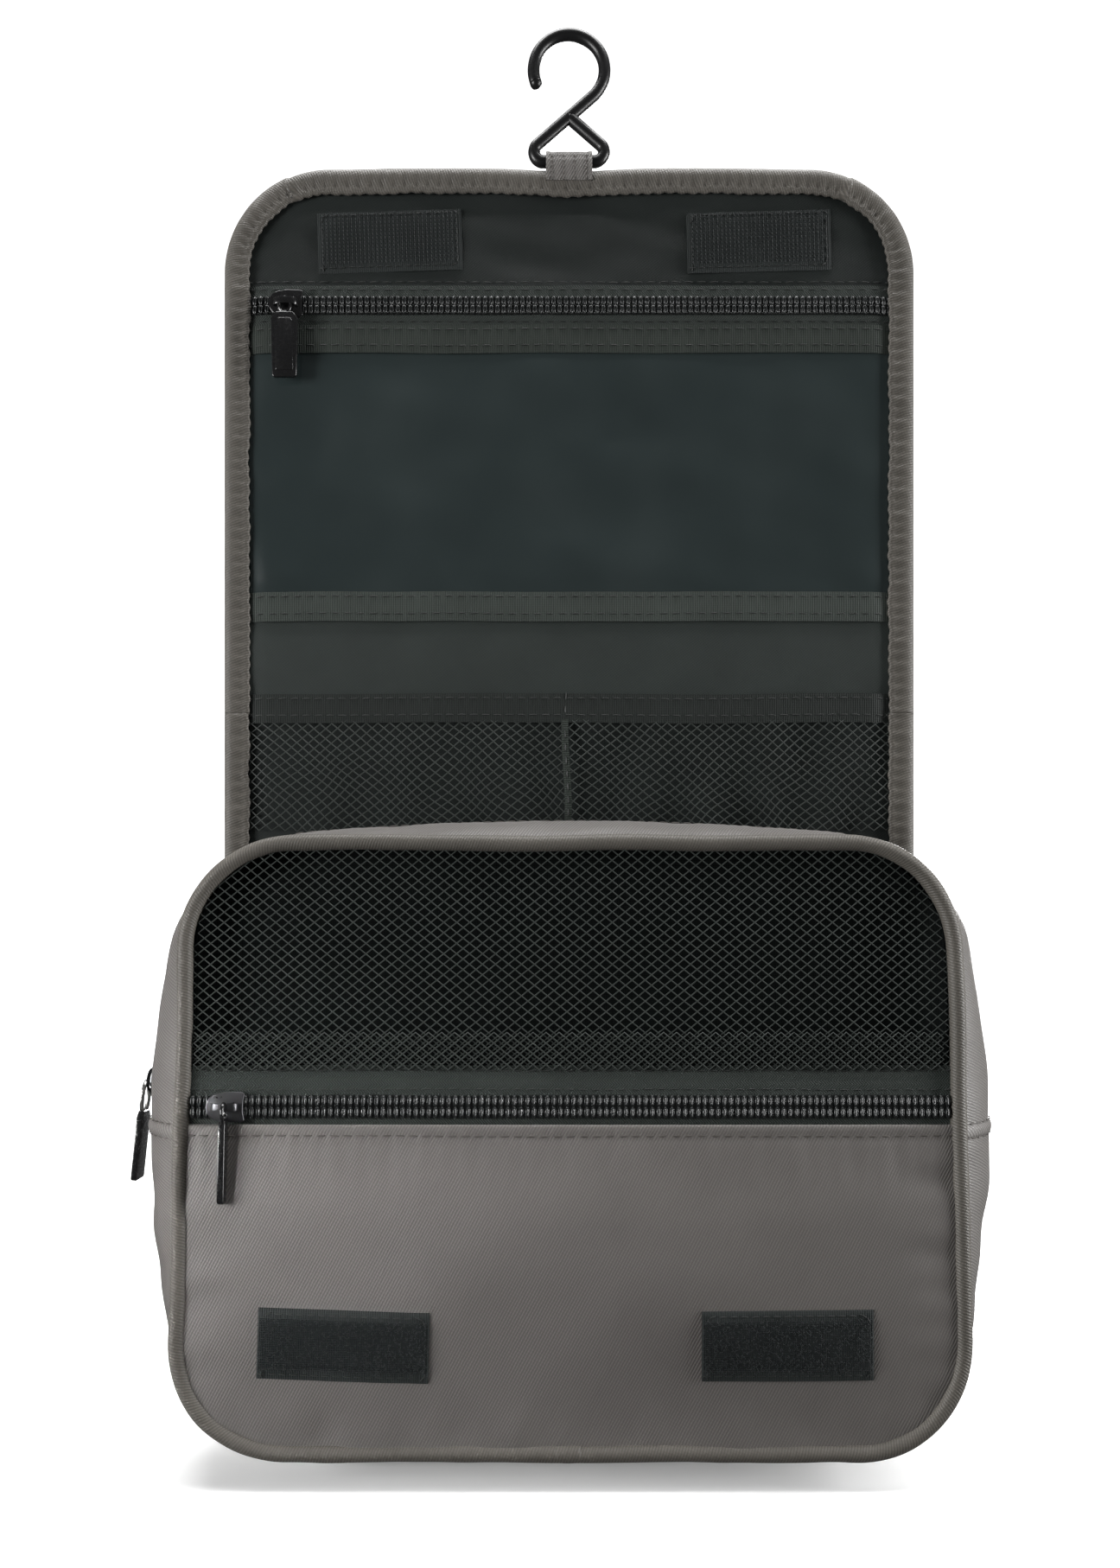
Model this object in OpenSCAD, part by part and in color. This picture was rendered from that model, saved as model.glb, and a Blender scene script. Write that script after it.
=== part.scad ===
// Hanging toiletry bag: a padded flap on a hook, folding over a soft zipped body.
// Frame: X to the right, Y to the back, Z up. The origin is the point of the hook that rests on a rail.

/* [Hook] */
// Diameter of the hook's wire
hook_wire = 4.2; // [3:0.1:5]
// Radius of the hook's bow, to the middle of the wire
bow_r = 12.4; // [11:0.2:18]
// Distance from the middle of the bow down to the middle of the base bar
bow_to_bar = 32; // [30:1:40]
// Half the width of the hook's triangular base, to the middle of the wire
base_half = 12.2; // [11.5:0.1:16]
// Radius of the base's corners, to the middle of the wire
base_corner_r = 3.4; // [3:0.1:4]

/* [Flap] */
// Width of the flap and of the back
flap_w = 240; // [200:1:300]
// Length of the flap, from its top edge to the fold at the back of the body
flap_len = 225.4; // [200:1:280]
// Length of the stretch of the flap that covers the body's top when closed
cover_len = 52.5; // [51:0.5:60]
// Radius of the flap's top corners
flap_corner_r = 37; // [20:1:50]
// Thickness of the outer fabric
shell_t = 0.8; // [0.5:0.1:1.2]
// Thickness of the foam padding
pad_t = 2; // [1:0.5:3]
// Thickness of the lining
lining_t = 0.5; // [0.3:0.1:1]
// Width of the binding on each face
binding_w = 9; // [6:0.5:12]
// Thickness of the binding
binding_t = 0.6; // [0.4:0.1:1]

/* [Body] */
// Width of the body between the outer edges of its piping
body_w = 240; // [200:1:300]
// Height of the body between the outer edges of its piping
body_h = 190; // [170:1:240]
// Radius of the body's corners
body_corner_r = 35; // [20:1:50]
// Depth of the body at its top, to the middle of the front piping
depth_top = 45; // [40:1:46]
// Depth of the body at its bottom, to the middle of the front piping
depth_bottom = 60; // [50:1:70]
// Radius of the piping
piping_r = 2; // [1.5:0.1:2.5]
// How far the sides of the gusset swell
side_swell = 17; // [5:1:20]
// How far the top of the gusset swells
top_swell = 6.5; // [2:0.5:7]
// How far the bottom of the gusset swells
bottom_swell = 8; // [2:0.5:12]
// Thickness of the gusset fabric
gusset_t = 1; // [0.6:0.1:1.4]

/* [Zips] */
// Width of one coil of a zip
coil_w = 3.2; // [2.5:0.1:4]
// Height of the coils
coil_t = 1.5; // [1:0.1:1.8]
// Thickness of the zip tape
tape_t = 0.45; // [0.3:0.05:0.6]
// Length of a slider
slider_len = 12; // [9:0.5:13]
// Width of a slider
slider_w = 9.4; // [8.6:0.2:12]
// Distance from the flap's top edge to the middle of its zip
flap_zip_drop = 48.3; // [46:1:60]
// Distance from the body's top to the middle of the front pocket's zip
front_zip_drop = 85; // [80:1:95]
// Distance from the middle of the back's padding forward to the middle of the gusset zip
gusset_zip_depth = 22.5; // [19:0.5:25]

/* [Pockets and tapes] */
// Width of the grosgrain ribbons
ribbon_w = 9.8; // [8:0.2:12]
// Height of the clear window
window_h = 85; // [60:1:95]
// Distance from the fold at the body up to the top edge of the mesh pocket
mesh_pocket_h = 42.2; // [35:1:44]
// Length of a patch of hook and loop tape
patch_l = 50; // [30:1:60]
// Height of a patch of hook and loop tape
patch_h = 21; // [16:1:25]
// Distance from the middle of the bag to the middle of a patch
patch_x = 65; // [50:1:75]
// Distance from the flap's top edge to the middle of its patches
flap_patch_drop = 25.5; // [22:0.5:30]
// Distance from the body's top to the middle of its patches
front_patch_drop = 155; // [140:1:160]
// Depth of the front pocket
pocket_gap = 6.7; // [5:0.1:9]

/* [Hidden] */
$fn = 48;

shell_grey = "#6b6660";
lining_black = "#2b312f";
tape_black = "#363c38";
hardware_black = "#17191a";
film_black = "#2c3535";

// Hook heights
wire_r = hook_wire / 2;
bow_z = -(bow_r - wire_r);
bar_z = bow_z - bow_to_bar;
hook_tip_angle = 201; // where the bow ends, counted from +X

// Hanger loop
loop_clearance = 0.3;
loop_t = 0.8;
loop_w = 16;
loop_below_edge = 5.4;

// Flap layers, counted along Y from the middle of the padding
shell_y = [pad_t / 2, pad_t / 2 + shell_t];
pad_y = [-pad_t / 2, pad_t / 2];
lining_y = [-pad_t / 2 - lining_t, -pad_t / 2];
face_y = lining_y[0];
binding_y = [face_y - binding_t, shell_y[1] + binding_t];
edge_clearance = 0.05;

// Flap heights
flap_top = bar_z - 3.3;
fold_z = flap_top - flap_len;
cover_z = fold_z + cover_len;
fold_clearance = 0.3;
binding_gap = 1.2;
inner_half = flap_w / 2 - binding_w - 0.1;

// Body frame
hinge_above_body = 9.2;
body_top = fold_z - hinge_above_body;
body_mid = body_top - body_h / 2;
body_bottom = body_top - body_h;
lean = atan((depth_bottom - depth_top) / body_h);
mid_depth = (depth_top + depth_bottom) / 2;
back_piping_r = 1.8;
back_piping_y = face_y - 0.1 - back_piping_r;
gusset_back_y = back_piping_y - back_piping_r - 0.05;
gusset_front_gap = piping_r + 0.2;
panel_inset = 2 * piping_r + 0.15;
panel_n = [0.2, 1];
mouth_drop = 72.4;
mouth_z = body_top - mouth_drop;
seam_drop = 93.8;
seam_z = body_top - seam_drop;
mouth_clearance = 0.4;

// Layers of the gusset, counted outwards from the outline
gusset_out = -1;
gusset_in = gusset_out - gusset_t;
gusset_tape_out = gusset_in - 0.2;
gusset_coil_out = gusset_tape_out + coil_t;
lining_out = gusset_in - 0.4;

// Zip stack, counted outwards from the tape's front face
coil_gap = 0.5;
zip_half = coil_gap + coil_w;
post_half = 0.35;
plate_t = 0.7;
top_plate_n = coil_t + 0.15;
bottom_plate_n = -tape_t - 0.1 - 0.6;
bar_r = 0.6;
eye_r = 1.35;
bar_rise = eye_r + 0.35;
eye_clearance = 0.15;
tab_t = 2;
tab_w = 9;
tab_l = 22;
tab_neck = 5;
stop_l = 2.5;
flap_tape_n = 0.75 + tape_t;
front_tape_n = 0;
front_tab_w = 4.2;
front_tab_l = 25;
zip_end_margin = 1;
flap_slider_x = -inner_half + 13;
front_half = body_w / 2 - panel_inset;
front_slider_x = -front_half + 10;
gusset_slider_drop = 80;
slide_chord = 25;

// ---------- Shared shapes ----------

// Extrudes a shape drawn in X and Z through Y from y[0] to y[1].
module slab(y) {
    translate([0, y[1], 0]) rotate([90, 0, 0]) linear_extrude(y[1] - y[0]) children();
}

// A rectangle centred on X, from z0 to z1, with round top and bottom corners.
module plate(w, z0, z1, r_top = 0, r_bottom = 0) {
    translate([-w / 2, z0 + r_bottom]) square([w, z1 - z0 - r_top - r_bottom]);
    if (r_top > 0) {
        translate([-w / 2 + r_top, z1 - r_top]) square([w - 2 * r_top, r_top]);
        for (s = [-1, 1]) translate([s * (w / 2 - r_top), z1 - r_top]) circle(r_top);
    }
    if (r_bottom > 0) {
        translate([-w / 2 + r_bottom, z0]) square([w - 2 * r_bottom, r_bottom]);
        for (s = [-1, 1]) translate([s * (w / 2 - r_bottom), z0 + r_bottom]) circle(r_bottom);
    }
}

// A flat strip on the flap's face: width w, height h, centred at height z, from n[0] to n[1] off the face.
module face_strip(w, z, h, n) {
    slab([face_y - n[1], face_y - n[0]]) plate(w, z - h / 2, z + h / 2);
}

// Places its children on the leaning front of the body: local Z runs up it from the body's middle.
module on_front() {
    translate([0, -mid_depth, body_mid]) rotate([-lean, 0, 0]) children();
}

// Height on the leaning front of a line that lies drop below the body's top.
function on_slope(drop) = (body_h / 2 - drop) / cos(lean);

// A strip on the front, from drop d0 down to drop d1, between n[0] and n[1] off the piping's plane.
module front_strip(w, d0, d1, n) {
    on_front() slab([-n[1], -n[0]]) plate(w, on_slope(d1), on_slope(d0));
}

// ---------- The outline and the soft skin of the gusset ----------

half_top = body_w / 2 - body_corner_r;
quarter = body_corner_r * PI / 2;
side_run = body_h - 2 * body_corner_r;
half_rim = 2 * half_top + 2 * quarter + side_run;

// A point of the body's outline at the run s from the middle of the top, with its outward
// direction: [x, z, nx, nz].
function rim_right(s) =
    s < half_top ? [s, body_top, 0, 1]
    : s < half_top + quarter
        ? rim_corner(90 - (s - half_top) / body_corner_r * 180 / PI, body_top - body_corner_r)
    : s < half_top + quarter + side_run
        ? [body_w / 2, body_top - body_corner_r - (s - half_top - quarter), 1, 0]
    : s < half_top + 2 * quarter + side_run
        ? rim_corner(-(s - half_top - quarter - side_run) / body_corner_r * 180 / PI,
            body_bottom + body_corner_r)
    : [half_rim - s, body_bottom, 0, -1];
function rim_corner(a, z) =
    [half_top + body_corner_r * cos(a), z + body_corner_r * sin(a), cos(a), sin(a)];
function rim(s) = let (t = s > half_rim ? s - 2 * half_rim : s, p = rim_right(abs(t)), m = t < 0 ? -1 : 1)
    [m * p[0], p[1], m * p[2], p[3]];

// How far the gusset swells at an outline point p.
function swell(p) =
    p[2] * p[2] * side_swell * pow(max(0, sin(180 * (body_top - p[1]) / body_h)), 0.8)
    + p[3] * p[3] * (p[3] > 0 ? top_swell : bottom_swell) * max(0, cos(90 * p[0] / (body_w / 2)));

function front_y(z) = -depth_top - (depth_bottom - depth_top) * (body_top - z) / body_h;

// The gusset swells in an arc from each piping to a flat band along the zip.
zip_y = -gusset_zip_depth;
zip_band = 6.5;
function swell_share(y, y0) =
    pow(sin(90 * max(0, min(1, (y - y0) / (zip_y - zip_band - y0),
        (gusset_back_y - y) / (gusset_back_y - zip_y - zip_band)))), 0.8);

// A depth across the gusset: a distance from the front edge, the zip or the back edge, which
// are -1, 0 and 1.
function depth(v, y0) = [y0, zip_y, gusset_back_y][v[0] + 1] + v[1];
front_edge = [-1, 0];
back_edge = [1, 0];

// A point of the gusset at the run s, the share t of the way from depth v[0] to v[1], and off mm
// outside the outline.
function skin_point(s, v, t, off) =
    let (p = rim(s), y0 = front_y(p[1]) + gusset_front_gap,
        y = depth(v[0], y0) * (1 - t) + depth(v[1], y0) * t, out = off + swell(p) * swell_share(y, y0))
    [p[0] + p[2] * out, y, p[1] + p[3] * out];

// A closed patch of the gusset, from run s[0] to s[1], depth v[0] to v[1] and offset off[0] to off[1].
module skin(s, v, off, rings = 8, step = 7) {
    ns = max(2, round((s[1] - s[0]) / step));
    nv = rings;
    stride = nv + 1;
    layer = (ns + 1) * stride;
    points = [for (o = off, i = [0:ns], j = [0:nv])
        skin_point(s[0] + (s[1] - s[0]) * i / ns, v, j / nv, o)];
    faces = concat(
        [for (i = [0:ns - 1], j = [0:nv - 1]) let (a = i * stride + j)
            [a, a + 1, a + stride + 1, a + stride]],
        [for (i = [0:ns - 1], j = [0:nv - 1]) let (a = layer + i * stride + j)
            [a, a + stride, a + stride + 1, a + 1]],
        [for (i = [0:ns - 1]) let (a = i * stride) [a, a + stride, layer + a + stride, layer + a]],
        [for (i = [0:ns - 1]) let (a = i * stride + nv) [a, layer + a, layer + a + stride, a + stride]],
        [for (j = [0:nv - 1]) [j, layer + j, layer + j + 1, j + 1]],
        [for (j = [0:nv - 1]) let (a = ns * stride + j) [a, a + 1, layer + a + 1, layer + a]]);
    polyhedron(points, faces, convexity = 8);
}

// The run along the outline at which it passes the height z on its side.
function run_at(z) = half_top + quarter + (body_top - body_corner_r - z);
seam_run = run_at(seam_z);
mouth_run = run_at(mouth_z);

// Depths where the zip's parts begin and end.
tape_past_coil = 3.5;
strip_past_coil = 1.2;
front_coil_v = [[0, -zip_half], [0, -coil_gap]];
back_coil_v = [[0, coil_gap], [0, zip_half]];
front_tape_v = [[0, -zip_half - tape_past_coil], [0, -coil_gap]];
back_tape_v = [[0, coil_gap], [0, zip_half + tape_past_coil]];
front_strip_v = [front_edge, [0, -zip_half - strip_past_coil]];
back_strip_v = [[0, zip_half + strip_past_coil], back_edge];
mouth_stretch = [-mouth_run + mouth_clearance, mouth_run - mouth_clearance];
seam_stretch = [-seam_run + mouth_clearance, seam_run - mouth_clearance];
lower_stretch = [seam_run, 2 * half_rim - seam_run];
end_stretches = [[seam_stretch[0], -mouth_run - mouth_clearance],
    [mouth_run + mouth_clearance, seam_stretch[1]]];
gusset_wall = [gusset_in, gusset_out];
gusset_tape_wall = [gusset_tape_out - tape_t, gusset_tape_out];
gusset_coil_wall = [gusset_tape_out, gusset_coil_out];

// ---------- Hook and hanger loop ----------

// A length of wire from a to b in the plane of the hook.
module wire(a, b, r = wire_r) {
    d = b - a;
    translate([a[0], 0, a[1]]) rotate([0, 90 - atan2(d[1], d[0]), 0]) cylinder(h = norm(d), r = r);
}

// A joint between two lengths of wire at the point p, a hair thicker than they are.
module wire_joint(p) {
    translate([p[0], 0, p[1]]) sphere(wire_r + 0.03);
}

// A domed end of the wire at the point p, facing the direction at the angle a.
module wire_end(p, a) {
    translate([p[0], 0, p[1]]) rotate([0, 90 - a, 0]) rotate_extrude() intersection() {
        circle(wire_r);
        square(2 * wire_r);
    }
}

// A bend of wire about the point c with radius r, from the angle a0 to a1.
module wire_bend(c, r, a0, a1) {
    translate([c[0], 0, c[1]]) rotate([90, 0, 0]) rotate([0, 0, a0])
        rotate_extrude(angle = a1 - a0) translate([r, 0]) circle(wire_r);
}

module hook() {
    left = [-base_half + base_corner_r, bar_z + base_corner_r];
    right = [-left[0], left[1]];
    // The neck touches the bow on its right and the left corner's bend on its left.
    reach = [0, bow_z] - left;
    neck_dir = atan2(reach[1], reach[0]) - asin((bow_r + base_corner_r) / norm(reach));
    leave = [bow_r * sin(neck_dir), bow_z - bow_r * cos(neck_dir)];
    neck_end = left + base_corner_r * [-sin(neck_dir), cos(neck_dir)];
    crossing = [0, neck_end[1] - neck_end[0] * tan(neck_dir)];
    tip = [bow_r * cos(hook_tip_angle), bow_z + bow_r * sin(hook_tip_angle)];
    color(hardware_black) union() {
        wire_bend([0, bow_z], bow_r, neck_dir - 90, hook_tip_angle);
        wire_end(tip, hook_tip_angle + 90);
        wire(leave, neck_end);
        wire_bend(left, base_corner_r, neck_dir + 90, 270);
        wire([left[0], bar_z], [right[0], bar_z]);
        wire_bend(right, base_corner_r, -90, 90 - neck_dir);
        wire([-neck_end[0], neck_end[1]], crossing, wire_r - 0.1);
        for (p = [tip, leave, neck_end, left - [0, base_corner_r], right - [0, base_corner_r],
            [-neck_end[0], neck_end[1]]]) wire_joint(p);
    }
}

module hanger_loop() {
    bore = wire_r + loop_clearance;
    outer = max(bore + loop_t, -binding_y[0] + 0.2 + loop_t, binding_y[1] + 0.2 + loop_t);
    leg_z = flap_top - loop_below_edge;
    color(shell_grey) difference() {
        union() {
            translate([-loop_w / 2, 0, bar_z]) rotate([0, 90, 0]) cylinder(h = loop_w, r = outer);
            translate([-loop_w / 2, -outer, leg_z]) cube([loop_w, 2 * outer, bar_z - leg_z]);
        }
        translate([-loop_w / 2 - 1, 0, bar_z]) rotate([0, 90, 0]) cylinder(h = loop_w + 2, r = bore);
        translate([-loop_w / 2 - 1, -outer + loop_t, leg_z - 1])
            cube([loop_w + 2, 2 * (outer - loop_t), flap_top + 1.15 - leg_z]);
    }
}

// ---------- Flap ----------

module flap_upper_2d(inset = 0) {
    plate(flap_w - 2 * inset, cover_z + fold_clearance / 2, flap_top - inset, flap_corner_r - inset);
}
module flap_lower_2d(inset = 0) {
    plate(flap_w - 2 * inset, fold_z + fold_clearance / 2, cover_z - fold_clearance / 2);
}

module flap_layer_upper(y) { slab(y) flap_upper_2d(binding_t + edge_clearance); }
module flap_layer_lower(y) { slab(y) flap_lower_2d(binding_t + edge_clearance); }

module flap_shell_upper() { color(shell_grey) flap_layer_upper(shell_y); }
module flap_padding_upper() { color("#8d8d86") flap_layer_upper(pad_y); }
module flap_lining_upper() { color(lining_black) flap_layer_upper(lining_y); }
module flap_shell_lower() { color(shell_grey) flap_layer_lower(shell_y); }
module flap_padding_lower() { color("#8d8d86") flap_layer_lower(pad_y); }
module flap_lining_lower() { color(lining_black) flap_layer_lower(lining_y); }

// The binding wraps the edge: a channel that holds the layers between its two lips.
module flap_binding_upper() {
    color(shell_grey) difference() {
        slab(binding_y) difference() {
            plate(flap_w, cover_z + binding_gap, flap_top, flap_corner_r);
            plate(flap_w - 2 * binding_w, cover_z, flap_top - binding_w, flap_corner_r - binding_w);
        }
        slab([face_y, shell_y[1]]) plate(flap_w - 2 * binding_t, cover_z,
            flap_top - binding_t, flap_corner_r - binding_t);
    }
}

// A pair of straight channels on the two side edges, from z0 to z1.
module side_bindings(z0, z1) {
    color(shell_grey) difference() {
        slab(binding_y) difference() {
            plate(flap_w, z0, z1);
            plate(flap_w - 2 * binding_w, z0 - 1, z1 + 1);
        }
        slab([face_y, shell_y[1]]) plate(flap_w - 2 * binding_t, z0 - 1, z1 + 1);
    }
}
module flap_bindings_lower() { side_bindings(fold_z + binding_gap, cover_z - binding_gap); }

flap_zip_z = flap_top - flap_zip_drop;
ribbon_top_z = flap_zip_z - zip_half - 3 - ribbon_w / 2;
window_top = ribbon_top_z - ribbon_w / 2 + 2;
window_bottom = window_top - 2 - window_h;
ribbon_bottom_z = window_bottom + 2 - ribbon_w / 2;
mesh_top = fold_z + mesh_pocket_h;
ribbon_n = [1.35, 1.85];
net_n = [0.6, 1.2];
film_n = [0.75, 1];
flap_tape_w = 6.6;
flap_tape_run = [flap_tape_n - tape_t, flap_tape_n];

module flap_zip_tape_top() {
    color(tape_black)
        face_strip(2 * inner_half, flap_zip_z + coil_gap + flap_tape_w / 2, flap_tape_w, flap_tape_run);
}
module flap_zip_tape_bottom() {
    color(tape_black)
        face_strip(2 * inner_half, flap_zip_z - coil_gap - flap_tape_w / 2, flap_tape_w, flap_tape_run);
}
module flap_zip_coils() {
    for (s = [-1, 1]) color(hardware_black) face_strip(2 * inner_half - 2 * stop_l - 0.2,
        flap_zip_z + s * (coil_gap + coil_w / 2), coil_w, [flap_tape_n, flap_tape_n + coil_t]);
}
module flap_zip_stops() {
    for (s = [-1, 1]) color(hardware_black) translate([s * (inner_half - stop_l / 2), 0, 0])
        face_strip(stop_l, flap_zip_z, 2 * zip_half, [flap_tape_n, flap_tape_n + coil_t]);
}
module window_film() {
    color(film_black)
        face_strip(2 * inner_half, (window_top + window_bottom) / 2, window_top - window_bottom, film_n);
}
module window_ribbon_top() {
    color(tape_black) face_strip(2 * inner_half, ribbon_top_z, ribbon_w, ribbon_n);
}
module window_ribbon_bottom() {
    color(tape_black) face_strip(2 * inner_half, ribbon_bottom_z, ribbon_w, ribbon_n);
}
module flap_hook_tapes() {
    for (s = [-1, 1]) color(lining_black) translate([s * patch_x, 0, 0])
        face_strip(patch_l, flap_top - flap_patch_drop, patch_h, [0.1, 1.6]);
}
module mesh_pocket_ribbon() {
    color(tape_black) face_strip(2 * inner_half, mesh_top - ribbon_w / 2, ribbon_w, ribbon_n);
}
module mesh_pocket_net() {
    low = fold_z + 2;
    high = mesh_top - ribbon_w / 2;
    color("#1f2523") face_strip(2 * inner_half, (low + high) / 2, high - low, net_n);
}
module mesh_pocket_seam() {
    low = fold_z + 2;
    high = mesh_top - ribbon_w - 0.1;
    color(tape_black) face_strip(1.4, (low + high) / 2, high - low, [net_n[1] + 0.05, ribbon_n[1]]);
}

// ---------- Zip hardware ----------

// A slider that runs along X, faces -Y and closes a zip whose tape has its front face at Y = 0.
module zip_slider() {
    bar_n = top_plate_n + plate_t + bar_rise;
    color(hardware_black) {
        for (n = [bottom_plate_n, top_plate_n]) {
            t = n == top_plate_n ? plate_t : 0.6;
            slab([-n - t, -n]) {
                translate([-slider_len / 2 + slider_w / 2, 0]) circle(slider_w / 2);
                translate([-slider_len / 2 + slider_w / 2, -slider_w * 0.43])
                    square([slider_len - slider_w / 2, slider_w * 0.86]);
            }
        }
        translate([-slider_len / 2 + 1, -top_plate_n - 0.1, -post_half])
            cube([2.2, top_plate_n - bottom_plate_n + 0.2 - 0.1, 2 * post_half]);
        translate([-3.6, -bar_n, 0]) rotate([0, 90, 0]) cylinder(h = 7.2, r = bar_r);
        for (x = [-3.6, 2.4])
            translate([x, -bar_n, -bar_r]) cube([1.2, bar_rise + 0.1, 2 * bar_r]);
    }
}

// A pull whose eye turns on the slider's bar, along X, with its tab hanging along -Z from Y = -axis_n.
module zip_pull(axis_n, w, d, l) {
    color(hardware_black) translate([0, -axis_n, 0]) difference() {
        union() {
            translate([-0.9, 0, 0]) rotate([0, 90, 0]) cylinder(h = 1.8, r = eye_r);
            translate([-0.9, -0.9, -tab_neck]) cube([1.8, 1.8, tab_neck]);
            translate([-w / 2, -d / 2, -tab_neck - l]) cube([w, d, l]);
        }
        translate([-2, 0, 0]) rotate([0, 90, 0]) cylinder(h = 4, r = bar_r + eye_clearance);
    }
}
bar_height = top_plate_n + plate_t + bar_rise;

module flap_zip_slider() {
    translate([flap_slider_x, face_y - flap_tape_n, flap_zip_z]) zip_slider();
}
module flap_zip_pull() {
    translate([flap_slider_x, face_y - flap_tape_n, flap_zip_z]) zip_pull(bar_height, tab_w, tab_t, tab_l);
}

// ---------- Body ----------

module back_layer(y, inset) {
    slab(y) plate(flap_w - 2 * inset, body_bottom + inset, fold_z - fold_clearance / 2, 0, body_corner_r);
}
module back_shell() { color(shell_grey) back_layer(shell_y, binding_t + edge_clearance); }
module back_padding() { color("#8d8d86") back_layer(pad_y, binding_t + edge_clearance); }
module back_lining() { color(lining_black) back_layer(lining_y, binding_t + edge_clearance); }
back_binding_low = body_top - body_corner_r;
module back_bindings() {
    difference() {
        side_bindings(back_binding_low, fold_z - binding_gap);
        // The front lips stop above the back piping, which takes their place.
        translate([-flap_w / 2 - 1, -10 + face_y, back_binding_low - 1])
            cube([flap_w + 2, 10, body_top + 0.5 - back_binding_low + 1]);
    }
}

// A straight run and two quarter bends of piping: the lower or upper half of a loop of tube in the XZ plane.
module piping_half(w, z_edge, z_end, r, corner, up) {
    m = up ? 1 : -1;
    bend = corner - r;
    for (s = [-1, 1]) {
        translate([s * (w / 2 - corner), 0, z_edge - m * corner]) rotate([90, 0, 0])
            rotate([0, 0, up ? (s > 0 ? 0 : 90) : (s > 0 ? 270 : 180)])
                rotate_extrude(angle = 90) translate([bend, 0]) circle(r);
        translate([s * (w / 2 - r), 0, min(z_end, z_edge - m * corner)])
            cylinder(h = abs(z_edge - m * corner - z_end), r = r);
    }
    translate([-w / 2 + corner, 0, z_edge - m * r]) rotate([0, 90, 0]) cylinder(h = w - 2 * corner, r = r);
}
module back_piping() {
    color(shell_grey) translate([0, back_piping_y, 0]) union() {
        piping_half(body_w, body_top, body_mid, back_piping_r, body_corner_r, true);
        piping_half(body_w, body_bottom, body_mid, back_piping_r, body_corner_r, false);
    }
}
module front_piping_upper() {
    color(shell_grey) on_front()
        piping_half(body_w, on_slope(0), on_slope(mouth_drop - mouth_clearance),
            piping_r, body_corner_r, true);
}
module front_piping_lower() {
    color(shell_grey) on_front()
        piping_half(body_w, on_slope(body_h), on_slope(mouth_drop + mouth_clearance),
            piping_r, body_corner_r, false);
}

// The straight edge stays straight where a corner is rounder than the panel is tall.
module front_panel_2d(d0, d1, r_top, r_bottom) {
    spare = 1;
    intersection() {
        plate(2 * front_half, on_slope(d1), on_slope(d0), r_top, r_bottom);
        translate([-front_half - spare, on_slope(d1) - (r_bottom > 0 ? spare : 0)])
            square([2 * (front_half + spare), on_slope(d0) - on_slope(d1) + spare]);
    }
}
panel_r = body_corner_r - panel_inset;
panel_drop = front_zip_drop + zip_half + 2.5;
module front_lower_panel() {
    color(shell_grey) on_front() slab([-panel_n[1], -panel_n[0]])
        front_panel_2d(panel_drop, body_h - panel_inset, 0, panel_r);
}
module front_net_panel() {
    color("#1f2523") on_front() slab([-panel_n[1], -panel_n[0]])
        front_panel_2d(panel_inset, mouth_drop - mouth_clearance, panel_r, 0);
}
divider_n = [-pocket_gap - lining_t + panel_n[0], -pocket_gap + panel_n[0]];
module divider_lower() {
    color(lining_black) on_front() slab([-divider_n[1], -divider_n[0]])
        front_panel_2d(mouth_drop + mouth_clearance, body_h - panel_inset, 0, panel_r);
}
module divider_upper() {
    color(lining_black) on_front() slab([-divider_n[1], -divider_n[0]])
        front_panel_2d(panel_inset, mouth_drop - mouth_clearance, panel_r, 0);
}
module front_loop_tapes() {
    for (s = [-1, 1]) color(lining_black) translate([s * patch_x, 0, 0])
        front_strip(patch_l, front_patch_drop - patch_h / 2, front_patch_drop + patch_h / 2,
            [panel_n[1] + 0.05, panel_n[1] + 1.5]);
}
front_tape_run = [front_tape_n - tape_t, front_tape_n];
module front_zip_tape_top() {
    color(tape_black) front_strip(2 * front_half, mouth_drop + mouth_clearance,
        front_zip_drop - coil_gap, front_tape_run);
}
module front_zip_tape_bottom() {
    color(tape_black)
        front_strip(2 * front_half, front_zip_drop + coil_gap, panel_drop + 4, front_tape_run);
}
module front_zip_coils() {
    for (s = [-1, 1]) color(hardware_black) front_strip(2 * (front_half - stop_l) - 0.2,
        front_zip_drop + s * (coil_gap + coil_w / 2) - coil_w / 2,
        front_zip_drop + s * (coil_gap + coil_w / 2) + coil_w / 2, [front_tape_n, front_tape_n + coil_t]);
}
module front_zip_stops() {
    for (s = [-1, 1]) color(hardware_black) translate([s * (front_half - stop_l / 2), 0, 0])
        front_strip(stop_l, front_zip_drop - zip_half, front_zip_drop + zip_half,
            [front_tape_n, front_tape_n + coil_t]);
}
module at_front_slider() {
    on_front() translate([front_slider_x, -front_tape_n, on_slope(front_zip_drop)]) children();
}
module front_zip_slider() { at_front_slider() zip_slider(); }
module front_zip_pull() { at_front_slider() zip_pull(bar_height, tab_t, front_tab_w, front_tab_l); }

// ---------- Gusset ----------

module gusset_lower() { color(shell_grey) skin(lower_stretch, [front_edge, back_edge], gusset_wall); }
module gusset_lining_lower() {
    color(lining_black) skin(lower_stretch, [front_edge, back_edge], [lining_out - lining_t, lining_out]);
}
module gusset_back_strip() { color(shell_grey) skin(seam_stretch, back_strip_v, gusset_wall, 4); }
module gusset_front_strip() { color(shell_grey) skin(mouth_stretch, front_strip_v, gusset_wall, 5); }
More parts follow.
